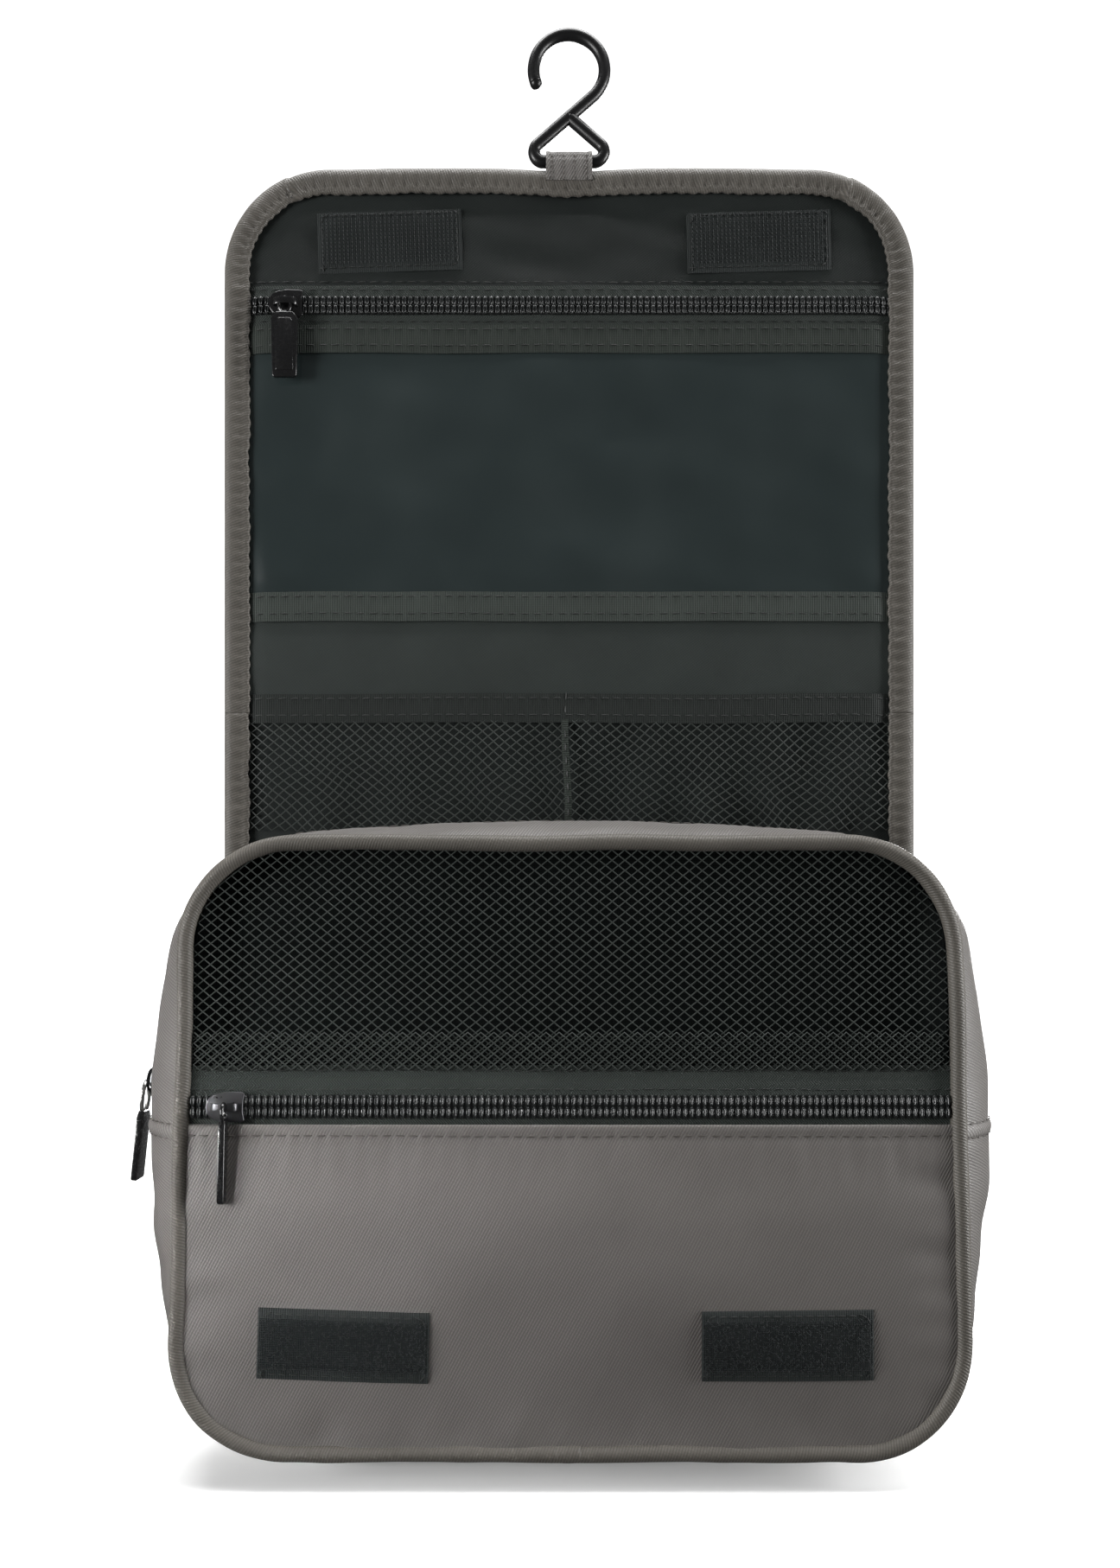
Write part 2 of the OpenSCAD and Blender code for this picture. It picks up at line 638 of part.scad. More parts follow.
// The lowest stretch of the front strip, on each side, stays with the body when the mouth opens.
module gusset_front_ends() {
    for (s = end_stretches) color(shell_grey) skin(s, front_strip_v, gusset_wall, 5);
}
module gusset_zip_tape_back() { color(tape_black) skin(seam_stretch, back_tape_v, gusset_tape_wall, 2); }
module gusset_zip_coil_back() {
    color(hardware_black) skin(seam_stretch, back_coil_v, gusset_coil_wall, 2);
}
module gusset_zip_tape_front() { color(tape_black) skin(mouth_stretch, front_tape_v, gusset_tape_wall, 2); }
module gusset_zip_coil_front() {
    color(hardware_black) skin(mouth_stretch, front_coil_v, gusset_coil_wall, 2);
}
module gusset_zip_front_ends() {
    for (s = end_stretches) color(tape_black) {
        skin(s, front_tape_v, gusset_tape_wall, 2);
        skin(s, front_coil_v, gusset_coil_wall, 2);
    }
}
// A folded band that covers each seam between the upper strips and the lower gusset.
band_w = 3.4;
band_t = 0.5;
module side_seam_bands() {
    for (s = [[seam_run + 0.6, seam_run + 0.6 + band_w], [-seam_run - 0.6 - band_w, -seam_run - 0.6]])
        color(shell_grey) skin(s, [front_edge, back_edge], [gusset_out + 0.1, gusset_out + 0.1 + band_t]);
}

// Places its children on the zip at the left side, with local X up the chord along which the slider runs.
slider_run = run_at(body_top - gusset_slider_drop);
zip_line = [[0, 0], [0, 0]];
chord_low = skin_point(-slider_run, zip_line, 0, gusset_tape_out);
chord_high = skin_point(-slider_run + slide_chord, zip_line, 0, gusset_tape_out);
chord_lean = atan2(chord_high[0] - chord_low[0], chord_high[2] - chord_low[2]);
module at_gusset_slider() {
    translate(chord_low) rotate([0, chord_lean, 0]) rotate([0, -90, -90]) children();
}
gusset_play = 0.7;
// The slider of the gusset zip: wider apart than the others, because its zip is curved.
module gusset_zip_slider() {
    low = bottom_plate_n - gusset_play;
    high = top_plate_n + gusset_play;
    color(hardware_black) at_gusset_slider() {
        for (n = [low, high]) slab([-n - (n == high ? plate_t : 0.6), -n]) {
            translate([-slider_len / 2 + slider_w / 2, 0]) circle(slider_w / 2);
            translate([-slider_len / 2 + slider_w / 2, -slider_w * 0.43])
                square([slider_len - slider_w / 2, slider_w * 0.86]);
        }
        translate([-slider_len / 2 + 1, -high - 0.1, -post_half]) cube([2.2, high - low, 2 * post_half]);
        translate([-4, -high - plate_t - link_rise - 0.8, -0.8]) cube([8, 0.8, 1.6]);
        for (x = [-4, 2.8])
            translate([x, -high - plate_t - link_rise, -0.8]) cube([1.2, link_rise + 0.1, 1.6]);
    }
}
link_r = 0.7;
link_rise = 1.9;
link_half = 2;
link_l = 9;
link_n = top_plate_n + gusset_play + plate_t + link_rise / 2;
link_x = -1.6;
// The pull of the gusset zip: a wire link round the foot of the bridge, and a flat tab.
module gusset_zip_pull() {
    color(hardware_black) at_gusset_slider() translate([link_x, -link_n, 0]) {
        translate([0, 0, -link_half]) cylinder(h = 2 * link_half, r = link_r);
        for (s = [-1, 1]) translate([0, 0, s * link_half]) {
            sphere(link_r);
            rotate([0, -90, 0]) cylinder(h = link_l, r = link_r);
        }
        translate([-link_l - tab_l, -tab_t / 2, -tab_w / 2]) cube([tab_l, tab_t, tab_w]);
    }
}

hook();
hanger_loop();
flap_shell_upper();
flap_padding_upper();
flap_lining_upper();
flap_binding_upper();
flap_zip_tape_top();
flap_zip_tape_bottom();
flap_zip_coils();
flap_zip_stops();
window_film();
window_ribbon_top();
window_ribbon_bottom();
flap_hook_tapes();
flap_shell_lower();
flap_padding_lower();
flap_lining_lower();
flap_bindings_lower();
mesh_pocket_ribbon();
mesh_pocket_net();
mesh_pocket_seam();
flap_zip_slider();
flap_zip_pull();
back_shell();
back_padding();
back_lining();
back_bindings();
back_piping();
gusset_lower();
gusset_lining_lower();
gusset_back_strip();
gusset_zip_tape_back();
gusset_zip_coil_back();
gusset_front_ends();
gusset_zip_front_ends();
side_seam_bands();
front_lower_panel();
front_loop_tapes();
front_piping_lower();
front_zip_tape_top();
front_zip_tape_bottom();
front_zip_coils();
front_zip_stops();
divider_lower();
front_net_panel();
front_piping_upper();
gusset_front_strip();
gusset_zip_tape_front();
gusset_zip_coil_front();
divider_upper();
front_zip_slider();
front_zip_pull();
gusset_zip_slider();
gusset_zip_pull();
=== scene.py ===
import math
import bpy
import bmesh
import numpy as np
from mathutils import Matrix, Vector


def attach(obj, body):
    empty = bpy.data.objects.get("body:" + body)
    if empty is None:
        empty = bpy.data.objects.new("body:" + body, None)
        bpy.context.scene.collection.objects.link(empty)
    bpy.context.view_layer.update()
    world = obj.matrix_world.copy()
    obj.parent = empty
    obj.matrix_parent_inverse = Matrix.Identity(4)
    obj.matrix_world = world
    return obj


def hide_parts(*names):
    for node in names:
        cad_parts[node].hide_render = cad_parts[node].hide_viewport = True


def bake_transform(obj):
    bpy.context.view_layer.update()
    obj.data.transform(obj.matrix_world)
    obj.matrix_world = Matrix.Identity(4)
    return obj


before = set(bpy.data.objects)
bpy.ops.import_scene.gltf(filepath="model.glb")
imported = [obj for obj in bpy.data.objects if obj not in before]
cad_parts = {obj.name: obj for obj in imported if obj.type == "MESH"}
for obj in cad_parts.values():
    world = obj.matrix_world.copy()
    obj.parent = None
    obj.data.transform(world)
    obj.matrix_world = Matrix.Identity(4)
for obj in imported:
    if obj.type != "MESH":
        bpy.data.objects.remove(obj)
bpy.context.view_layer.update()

mm = 0.001
yPlus = np.array([0.0, 1.0, 0.0])


# Shared tools: meshes are worked out in millimetres and stored in metres.

def place(name, data):
    # A new object in the scene, from a mesh, a light or a camera.
    made = bpy.data.objects.new(name, data)
    bpy.context.scene.collection.objects.link(made)
    return made


def makeMesh(name, points, faces, material, loopUv=None):
    mesh = bpy.data.meshes.new(name)
    mesh.from_pydata((np.asarray(points, float) * mm).tolist(), [], [tuple(int(i) for i in f) for f in faces])
    if loopUv is not None:
        layer = mesh.uv_layers.new(name="UVMap")
        layer.data.foreach_set("uv", np.asarray(loopUv, np.float32).ravel())
    mesh.polygons.foreach_set("use_smooth", [True] * len(mesh.polygons))
    mesh.materials.append(material)
    mesh.update()
    return place(name, mesh)


def settle(piece, sharp=40):
    # Applies a piece's modifiers, and keeps the result as its plain mesh.
    bpy.context.view_layer.update()
    graph = bpy.context.evaluated_depsgraph_get()
    done = bpy.data.meshes.new_from_object(piece.evaluated_get(graph), preserve_all_data_layers=True, depsgraph=graph)
    piece.modifiers.clear()
    old = piece.data
    piece.data = done
    bpy.data.meshes.remove(old)
    done.name = piece.name
    if sharp:
        done.set_sharp_from_angle(angle=math.radians(sharp))
    return piece


def gridMesh(name, points, uv, material, facing, thickness=0.0):
    # A sheet through a grid of points, whose front looks along facing, with its thickness behind it.
    nu, nv = points.shape[:2]
    i, j = np.meshgrid(np.arange(nu - 1), np.arange(nv - 1), indexing="ij")
    i, j = i.ravel(), j.ravel()
    a, b = i * nv + j, (i + 1) * nv + j
    quads = np.stack([a, b, b + 1, a + 1], 1)
    corners = np.stack([uv[i, j], uv[i + 1, j], uv[i + 1, j + 1], uv[i, j + 1]], 1)
    flat = points.reshape(-1, 3)
    normal = np.cross(flat[quads[:, 2]] - flat[quads[:, 0]], flat[quads[:, 3]] - flat[quads[:, 1]])
    toward = facing(flat[quads].mean(1)) if callable(facing) else np.array(facing, float)
    if (normal * toward).sum() < 0:
        quads, corners = quads[:, ::-1], corners[:, ::-1]
    piece = makeMesh(name, flat, quads, material, corners.reshape(-1, 2))
    if thickness:
        solid = piece.modifiers.new("thickness", "SOLIDIFY")
        solid.thickness = thickness * mm
        solid.offset = -1
        settle(piece)
    return piece


def sweep(name, path, side, profile, material, closedPath=False, scale=None):
    # A profile of (inward, along side) points carried along a path that lies in the plane across side.
    n = len(path)
    if closedPath:
        tangent = np.roll(path, -1, 0) - np.roll(path, 1, 0)
    else:
        tangent = np.gradient(path, axis=0)
    tangent /= np.linalg.norm(tangent, axis=1)[:, None]
    side = np.asarray(side, float)
    inward = np.cross(tangent, side)
    inward /= np.linalg.norm(inward, axis=1)[:, None]
    prof = profile if profile.ndim == 3 else np.repeat(profile[None], n, 0)
    if scale is not None:
        prof = prof * np.asarray(scale)[:, None, None]
    points = path[:, None] + inward[:, None] * prof[..., :1] + side * prof[..., 1:2]
    run = np.concatenate([[0], np.cumsum(np.linalg.norm(np.diff(path, axis=0), axis=1))])
    ring = prof[0]
    loop = np.vstack([ring, ring[:1]])
    around = np.concatenate([[0], np.cumsum(np.linalg.norm(np.diff(loop, axis=0), axis=1))])
    if closedPath:
        run = np.append(run, run[-1] + np.linalg.norm(path[0] - path[-1]))
    k = prof.shape[1]
    i, j = np.meshgrid(np.arange(n if closedPath else n - 1), np.arange(k), indexing="ij")
    i, j = i.ravel(), j.ravel()
    i2, j2 = (i + 1) % n, (j + 1) % k
    quads = np.stack([i * k + j, i2 * k + j, i2 * k + j2, i * k + j2], 1)
    corners = np.stack([np.stack([run[i], around[j]], 1), np.stack([run[i + 1], around[j]], 1),
                        np.stack([run[i + 1], around[j + 1]], 1), np.stack([run[i], around[j + 1]], 1)], 1)
    faces, uvs = [tuple(q) for q in quads], [list(c) for c in corners]
    if not closedPath:
        faces += [tuple(range(k))[::-1], tuple((n - 1) * k + x for x in range(k))]
        uvs += [[tuple(ring[x]) for x in range(k)][::-1], [tuple(ring[x]) for x in range(k)]]
    piece = makeMesh(name, points.reshape(-1, 3), faces, material, np.array([p for u in uvs for p in u]))
    tidyNormals(piece)
    return piece


def tidyNormals(piece):
    work = bmesh.new()
    work.from_mesh(piece.data)
    bmesh.ops.remove_doubles(work, verts=work.verts, dist=1e-7)
    bmesh.ops.recalc_face_normals(work, faces=work.faces)
    work.to_mesh(piece.data)
    work.free()
    piece.data.update()


def circleProfile(radius, sides=16):
    a = np.linspace(0, 2 * math.pi, sides, endpoint=False)
    return np.stack([radius * np.cos(a), radius * np.sin(a)], 1)


def ripple(x, z, length, seed, count=7):
    # A smooth uneven wave between about -1 and 1, whose crests are length apart.
    rng = np.random.default_rng(seed)
    total = 0
    for _ in range(count):
        a, f, p = rng.uniform(0, math.pi), rng.uniform(0.6, 1.5), rng.uniform(0, 2 * math.pi)
        total = total + np.sin(2 * math.pi * f / length * (x * math.cos(a) + z * math.sin(a)) + p)
    return total / math.sqrt(count * 2)


def smoothStep(a, b, x):
    t = np.clip((x - a) / (b - a), 0, 1)
    return t * t * (3 - 2 * t)


def bump(x, centre, width):
    return np.exp(-((x - centre) / width) ** 2)


def plate(name, outline, depth, material, edge=0.25, place=None, segments=2):
    # A flat plate with softened edges: outline is (x, z) points, depth its two Y values.
    n = len(outline)
    points = [(x, depth[0], z) for x, z in outline] + [(x, depth[1], z) for x, z in outline]
    faces = [tuple(range(n)), tuple(range(2 * n - 1, n - 1, -1))]
    faces += [(i, i + n, (i + 1) % n + n, (i + 1) % n) for i in range(n)]
    points = np.array(points, float)
    if place is not None:
        points = place(points)
    piece = makeMesh(name, points, faces, material)
    tidyNormals(piece)
    if edge:
        soft = piece.modifiers.new("edges", "BEVEL")
        soft.width = edge * mm
        soft.segments = segments
        soft.limit_method = "ANGLE"
        soft.angle_limit = math.radians(50)
        settle(piece, 50)
    return piece


def join(name, parts):
    # Makes several pieces one object, keeping each one's materials.
    first = parts[0]
    with bpy.context.temp_override(active_object=first, object=first, selected_objects=parts,
                                   selected_editable_objects=parts):
        bpy.ops.object.join()
    first.name = first.data.name = name
    return first


def moveTo(piece, spot, shift=(0, 0, 0)):
    # Carries a piece's points, first shifted, into the space of spot.
    points = spot(np.array([v.co for v in piece.data.vertices]) / mm + np.array(shift)) * mm
    piece.data.vertices.foreach_set("co", points.ravel())
    return piece


def fit(piece, rider, nodes=()):
    # What a piece rides on (a body; for a joint, the piece is only baked where it stands) and the CAD nodes that it
    # replaces, which are hidden.
    if isinstance(rider, str):
        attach(piece, rider)
    else:
        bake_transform(piece)
    if nodes:
        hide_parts(*nodes)
    return piece


def turned(x, z, degrees, cx=0.0, cz=0.0):
    # Points of a patch, turned about its middle, which lies at cx and cz.
    r = math.radians(degrees)
    return cx + x * math.cos(r) - z * math.sin(r), cz + x * math.sin(r) + z * math.cos(r)


# Shader tools

def newMaterial(name):
    material = bpy.data.materials.new(name)
    material.use_nodes = True
    tree = material.node_tree
    return material, tree, tree.nodes["Principled BSDF"]


def node(tree, kind, inputs=None, **settings):
    made = tree.nodes.new(kind)
    for key, value in settings.items():
        setattr(made, key, value)
    for key, value in (inputs or {}).items():
        socket = made.inputs[key]
        if isinstance(value, bpy.types.NodeSocket):
            tree.links.new(value, socket)
        else:
            socket.default_value = value
    return made


def math2(tree, operation, a, b=0.0):
    return node(tree, "ShaderNodeMath", {0: a, 1: b}, operation=operation).outputs[0]


def weighed(tree, a, aShare, b, bShare):
    # The sum of two values, each by its share.
    return math2(tree, "ADD", math2(tree, "MULTIPLY", a, aShare), math2(tree, "MULTIPLY", b, bShare))


def noise(tree, vector, scale, detail=3.0, roughness=0.5):
    inputs = {"Vector": vector, "Scale": scale, "Detail": detail, "Roughness": roughness}
    return node(tree, "ShaderNodeTexNoise", inputs).outputs["Fac"]


def relieved(tree, height, distance, strength):
    inputs = {"Height": height, "Distance": distance * mm, "Strength": strength}
    return node(tree, "ShaderNodeBump", inputs).outputs[0]


def ramp(tree, value, low, high, lowOut=0.0, highOut=1.0):
    made = node(tree, "ShaderNodeMapRange",
                {"Value": value, "From Min": low, "From Max": high, "To Min": lowOut, "To Max": highOut})
    return made.outputs["Result"]


def tones(tree, factor, dark, light):
    mixed = node(tree, "ShaderNodeMix", {0: factor}, data_type="RGBA")
    for socket, colour in ((mixed.inputs[6], dark), (mixed.inputs[7], light)):
        if isinstance(colour, bpy.types.NodeSocket):
            tree.links.new(colour, socket)
        else:
            socket.default_value = (*colour, 1)
    return mixed.outputs[2]


def wave(tree, vector, pitch, direction="X", distortion=0.0, detailScale=1.0):
    made = node(tree, "ShaderNodeTexWave", {"Vector": vector, "Scale": 0.31416 / pitch, "Distortion": distortion,
                "Detail": 1.0, "Detail Scale": detailScale}, wave_type="BANDS", bands_direction=direction)
    return made.outputs["Fac"]


def surfaceSpace(tree, turn=0.0):
    # The cloth's own millimetres, which its UV map holds, turned by some degrees.
    source = node(tree, "ShaderNodeTexCoord").outputs["UV"]
    return node(tree, "ShaderNodeMapping", {"Vector": source, "Rotation": (0, 0, math.radians(turn))}).outputs[0]


def setValues(shader, values):
    for key, value in values.items():
        shader.inputs[key].default_value = value


def link(tree, shader, sources):
    for key, source in sources.items():
        tree.links.new(source, shader.inputs[key])


def fabric(name, colour, weave, pitch, turn=0.0, contrast=0.35, relief=0.12, roughness=0.75, sheen=0.25,
           broad=0.12, specular=0.3):
    # A woven finish; colour is the mean, contrast how far the threads stray from it.
    material, tree, shader = newMaterial(name)
    space, plain = surfaceSpace(tree, turn), surfaceSpace(tree)
    if weave == "twill":
        ridge = wave(tree, space, pitch, "X", 0.6, 1.5)
        cross = wave(tree, space, pitch * 1.15, "Y", 1.0, 2.0)
        height = weighed(tree, ridge, 0.72, math2(tree, "MULTIPLY", ridge, cross), 0.28)
    elif weave == "rib":
        height = weighed(tree, wave(tree, space, pitch, "X", 0.4, 1.0), 0.8,
                         wave(tree, space, pitch * 0.75, "Y", 0.8, 2.0), 0.2)
    elif weave == "herringbone":
        across, along = node(tree, "ShaderNodeSeparateXYZ", {0: space}).outputs[:2]
        zig = math2(tree, "ADD", across, math2(tree, "PINGPONG", along, pitch * 1.6))
        bent = node(tree, "ShaderNodeCombineXYZ", {0: zig, 1: along})
        height = wave(tree, bent.outputs[0], pitch, "X", 0.3, 1.0)
    else:
        height = weighed(tree, wave(tree, space, pitch, "X", 0.6, 1.0), 0.5, wave(tree, space, pitch, "Y", 0.6, 1.0),
                         0.5)
    fibre = noise(tree, plain, 2.6 / pitch, roughness=0.6)
    dark = tuple(c * (1 - contrast) for c in colour)
    light = tuple(min(1, c * (1 + contrast)) for c in colour)
    threads = tones(tree, weighed(tree, height, 0.8, fibre, 0.2), dark, light)
    shade = ramp(tree, noise(tree, plain, 0.045), 0.3, 0.7, 1 - broad, 1 + broad)
    shaded = node(tree, "ShaderNodeVectorMath", {0: threads}, operation="MULTIPLY")
    tree.links.new(shade, shaded.inputs[1])
    link(tree, shader, {
        "Base Color": shaded.outputs[0],
        "Roughness": ramp(tree, height, 0, 1, min(1, roughness + 0.12), max(0, roughness - 0.08)),
        "Normal": relieved(tree, math2(tree, "ADD", height, math2(tree, "MULTIPLY", fibre, 0.35)), relief, 1.0)})
    setValues(shader, {"Sheen Weight": sheen, "Sheen Roughness": 0.4, "Sheen Tint": (1, 1, 1, 1),
                       "Specular IOR Level": specular})
    return material


def gloss(name, colour, roughness, coat=0.0, metallic=0.0, grain=0.0, grainSize=900.0, specular=0.5, spread=0.06):
    # Moulded, enamelled or metal finishes, with a faint unevenness in their gloss.
    material, tree, shader = newMaterial(name)
    coords = node(tree, "ShaderNodeTexCoord").outputs["Object"]
    speck, cloud = noise(tree, coords, grainSize, 4.0), noise(tree, coords, 90.0, 2.0)
    link(tree, shader, {
        "Base Color": tones(tree, cloud, tuple(c * 0.85 for c in colour), tuple(c * 1.15 for c in colour)),
        "Roughness": ramp(tree, speck, 0.3, 0.7, max(0.02, roughness - spread), roughness + spread)})
    setValues(shader, {"Metallic": metallic, "Coat Weight": coat, "Coat Roughness": 0.05,
                       "Specular IOR Level": specular})
    if grain:
        link(tree, shader, {"Normal": relieved(tree, speck, grain, 0.5)})
    return material


def cutCloth(piece, width, length, held, restsOn):
    # A sewn sheet: only its triangles are worked out; width, length, held and restsOn are not used.
    piece.data.calc_loop_triangles()


# Geometry node tools

def newTree(name, sockets):
    tree = bpy.data.node_groups.new(name, "GeometryNodeTree")
    tree.interface.new_socket("Geometry", in_out="INPUT", socket_type="NodeSocketGeometry")
    for label, kind, value in sockets:
        socket = tree.interface.new_socket(label, in_out="INPUT", socket_type="NodeSocket" + kind)
        if value is not None:
            socket.default_value = value
    tree.interface.new_socket("Geometry", in_out="OUTPUT", socket_type="NodeSocketGeometry")
    return tree, tree.nodes.new("NodeGroupInput").outputs, tree.nodes.new("NodeGroupOutput")


def finishTree(tree, geometry, material, out):
    solid = node(tree, "GeometryNodeRealizeInstances", {"Geometry": geometry})
    smooth = node(tree, "GeometryNodeSetShadeSmooth", {"Geometry": solid.outputs[0]})
    coloured = node(tree, "GeometryNodeSetMaterial", {"Geometry": smooth.outputs[0], "Material": material})
    tree.links.new(coloured.outputs[0], out.inputs[0])


def grow(piece, tree, values, sharp=0):
    # Runs a tree on a piece with these values, and keeps the result as its plain mesh.
    modifier = piece.modifiers.new(tree.name, "NODES")
    modifier.node_group = tree
    for item in tree.interface.items_tree:
        if item.item_type == "SOCKET" and item.in_out == "INPUT" and item.name in values:
            modifier[item.identifier] = values[item.name]
    return settle(piece, sharp)


def pathMesh(name, rows, across=None):
    # Loose paths as one mesh of edges; across holds, for each point, the way that lies over the path.
    points = np.vstack(rows)
    edges, start = [], 0
    for row in rows:
        edges += [(start + k, start + k + 1) for k in range(len(row) - 1)]
        start += len(row)
    mesh = bpy.data.meshes.new(name)
    mesh.from_pydata((points * mm).tolist(), edges, [])
    if across is not None:
        attribute = mesh.attributes.new("across", "FLOAT_VECTOR", "POINT")
        attribute.data.foreach_set("vector", np.vstack(across).astype(np.float32).ravel())
    return place(name, mesh)


def stitchTree():
    # Stitches: small threads at even steps along every path, each a little astray.
    tree, given, out = newTree("threadStitches",
                               [("Pitch", "Float", 0.004), ("Length", "Float", 0.003), ("Width", "Float", 0.0006),
                                                  ("Jitter", "Float", 0.06), ("Seed", "Int", 3),
                                                  ("Material", "Material", None)])
    curve = node(tree, "GeometryNodeMeshToCurve", {0: given["Geometry"]})
    even = node(tree, "GeometryNodeResampleCurve", {"Curve": curve.outputs[0], "Length": given["Pitch"]},
                mode="LENGTH")
    ball = node(tree, "GeometryNodeMeshUVSphere", {"Segments": 8, "Rings": 6, "Radius": 0.5})
    size = node(tree, "ShaderNodeCombineXYZ", {0: given["Length"], 1: given["Width"], 2: given["Width"]})
    turned = node(tree, "FunctionNodeAlignRotationToVector",
                  {"Vector": node(tree, "GeometryNodeInputTangent").outputs[0]}, axis="X")
    loose = node(tree, "FunctionNodeRandomValue", {"Seed": given["Seed"]}, data_type="FLOAT_VECTOR")
    for index, source in ((0, math2(tree, "MULTIPLY", given["Jitter"], -1.0)), (1, given["Jitter"])):
        vector = node(tree, "ShaderNodeCombineXYZ", {0: source, 1: source, 2: source})
        tree.links.new(vector.outputs[0], loose.inputs[index])
    tilt = node(tree, "FunctionNodeEulerToRotation", {0: loose.outputs[0]})
    both = node(tree, "FunctionNodeRotateRotation", {"Rotation": turned.outputs[0], "Rotate By": tilt.outputs[0]},
                rotation_space="LOCAL")
    placed = node(tree, "GeometryNodeInstanceOnPoints", {"Points": even.outputs[0], "Instance": ball.outputs[0],
                  "Rotation": both.outputs[0], "Scale": size.outputs[0]})
    finishTree(tree, placed.outputs[0], given["Material"], out)
    return tree


def toothTree():
    # Zip teeth: bowed wire rings at even steps along every path, lying across it.
    tree, given, out = newTree("coilTeeth",
                               [("Pitch", "Float", 0.002), ("Tooth Length", "Float", 0.0036),
                                ("Tooth Width", "Float", 0.0015),
                                             ("Wire", "Float", 0.0003), ("Bow", "Float", 0.0006),
                                             ("Material", "Material", None)])
    curve = node(tree, "GeometryNodeMeshToCurve", {0: given["Geometry"]})
    even = node(tree, "GeometryNodeResampleCurve", {"Curve": curve.outputs[0], "Length": given["Pitch"]},
                mode="LENGTH")
    ring = node(tree, "GeometryNodeCurvePrimitiveCircle", {"Resolution": 10, "Radius": 0.5})
    size = node(tree, "ShaderNodeCombineXYZ", {0: given["Tooth Width"], 1: given["Tooth Length"], 2: 1.0})
    oblong = node(tree, "GeometryNodeTransform", {"Geometry": ring.outputs[0], "Scale": size.outputs[0]})
    position = node(tree, "ShaderNodeSeparateXYZ", {0: node(tree, "GeometryNodeInputPosition").outputs[0]})
    reach = math2(tree, "DIVIDE", position.outputs[1], given["Tooth Length"])
    fall = node(tree, "ShaderNodeMath", {0: math2(tree, "MULTIPLY", reach, reach), 1: -4.0, 2: 1.0},
                operation="MULTIPLY_ADD")
    lift = node(tree, "ShaderNodeCombineXYZ", {2: math2(tree, "MULTIPLY", fall.outputs[0], given["Bow"])})
    bowed = node(tree, "GeometryNodeSetPosition", {"Geometry": oblong.outputs[0], "Offset": lift.outputs[0]})
    wire = node(tree, "GeometryNodeCurvePrimitiveCircle", {"Resolution": 5, "Radius": given["Wire"]})
    tooth = node(tree, "GeometryNodeCurveToMesh", {"Curve": bowed.outputs[0], "Profile Curve": wire.outputs[0]})
    along = node(tree, "FunctionNodeAlignRotationToVector",
                 {"Vector": node(tree, "GeometryNodeInputTangent").outputs[0]}, axis="X")
    over = node(tree, "GeometryNodeInputNamedAttribute", {"Name": "across"}, data_type="FLOAT_VECTOR")
    turned = node(tree, "FunctionNodeAlignRotationToVector",
                  {"Rotation": along.outputs[0], "Vector": over.outputs[0]}, axis="Y", pivot_axis="X")
    placed = node(tree, "GeometryNodeInstanceOnPoints",
                  {"Points": even.outputs[0], "Instance": tooth.outputs[0], "Rotation": turned.outputs[0]})
    finishTree(tree, placed.outputs[0], given["Material"], out)
    return tree


def netTree():
    # Net threads: a thin tube along every path.
    tree, given, out = newTree("netThreads",
                               [("Thread", "Float", 0.0002), ("Sides", "Int", 4), ("Material", "Material", None)])
    curve = node(tree, "GeometryNodeMeshToCurve", {0: given["Geometry"]})
    ring = node(tree, "GeometryNodeCurvePrimitiveCircle", {"Resolution": given["Sides"], "Radius": given["Thread"]})
    tube = node(tree, "GeometryNodeCurveToMesh", {"Curve": curve.outputs[0], "Profile Curve": ring.outputs[0]})
    finishTree(tree, tube.outputs[0], given["Material"], out)
    return tree


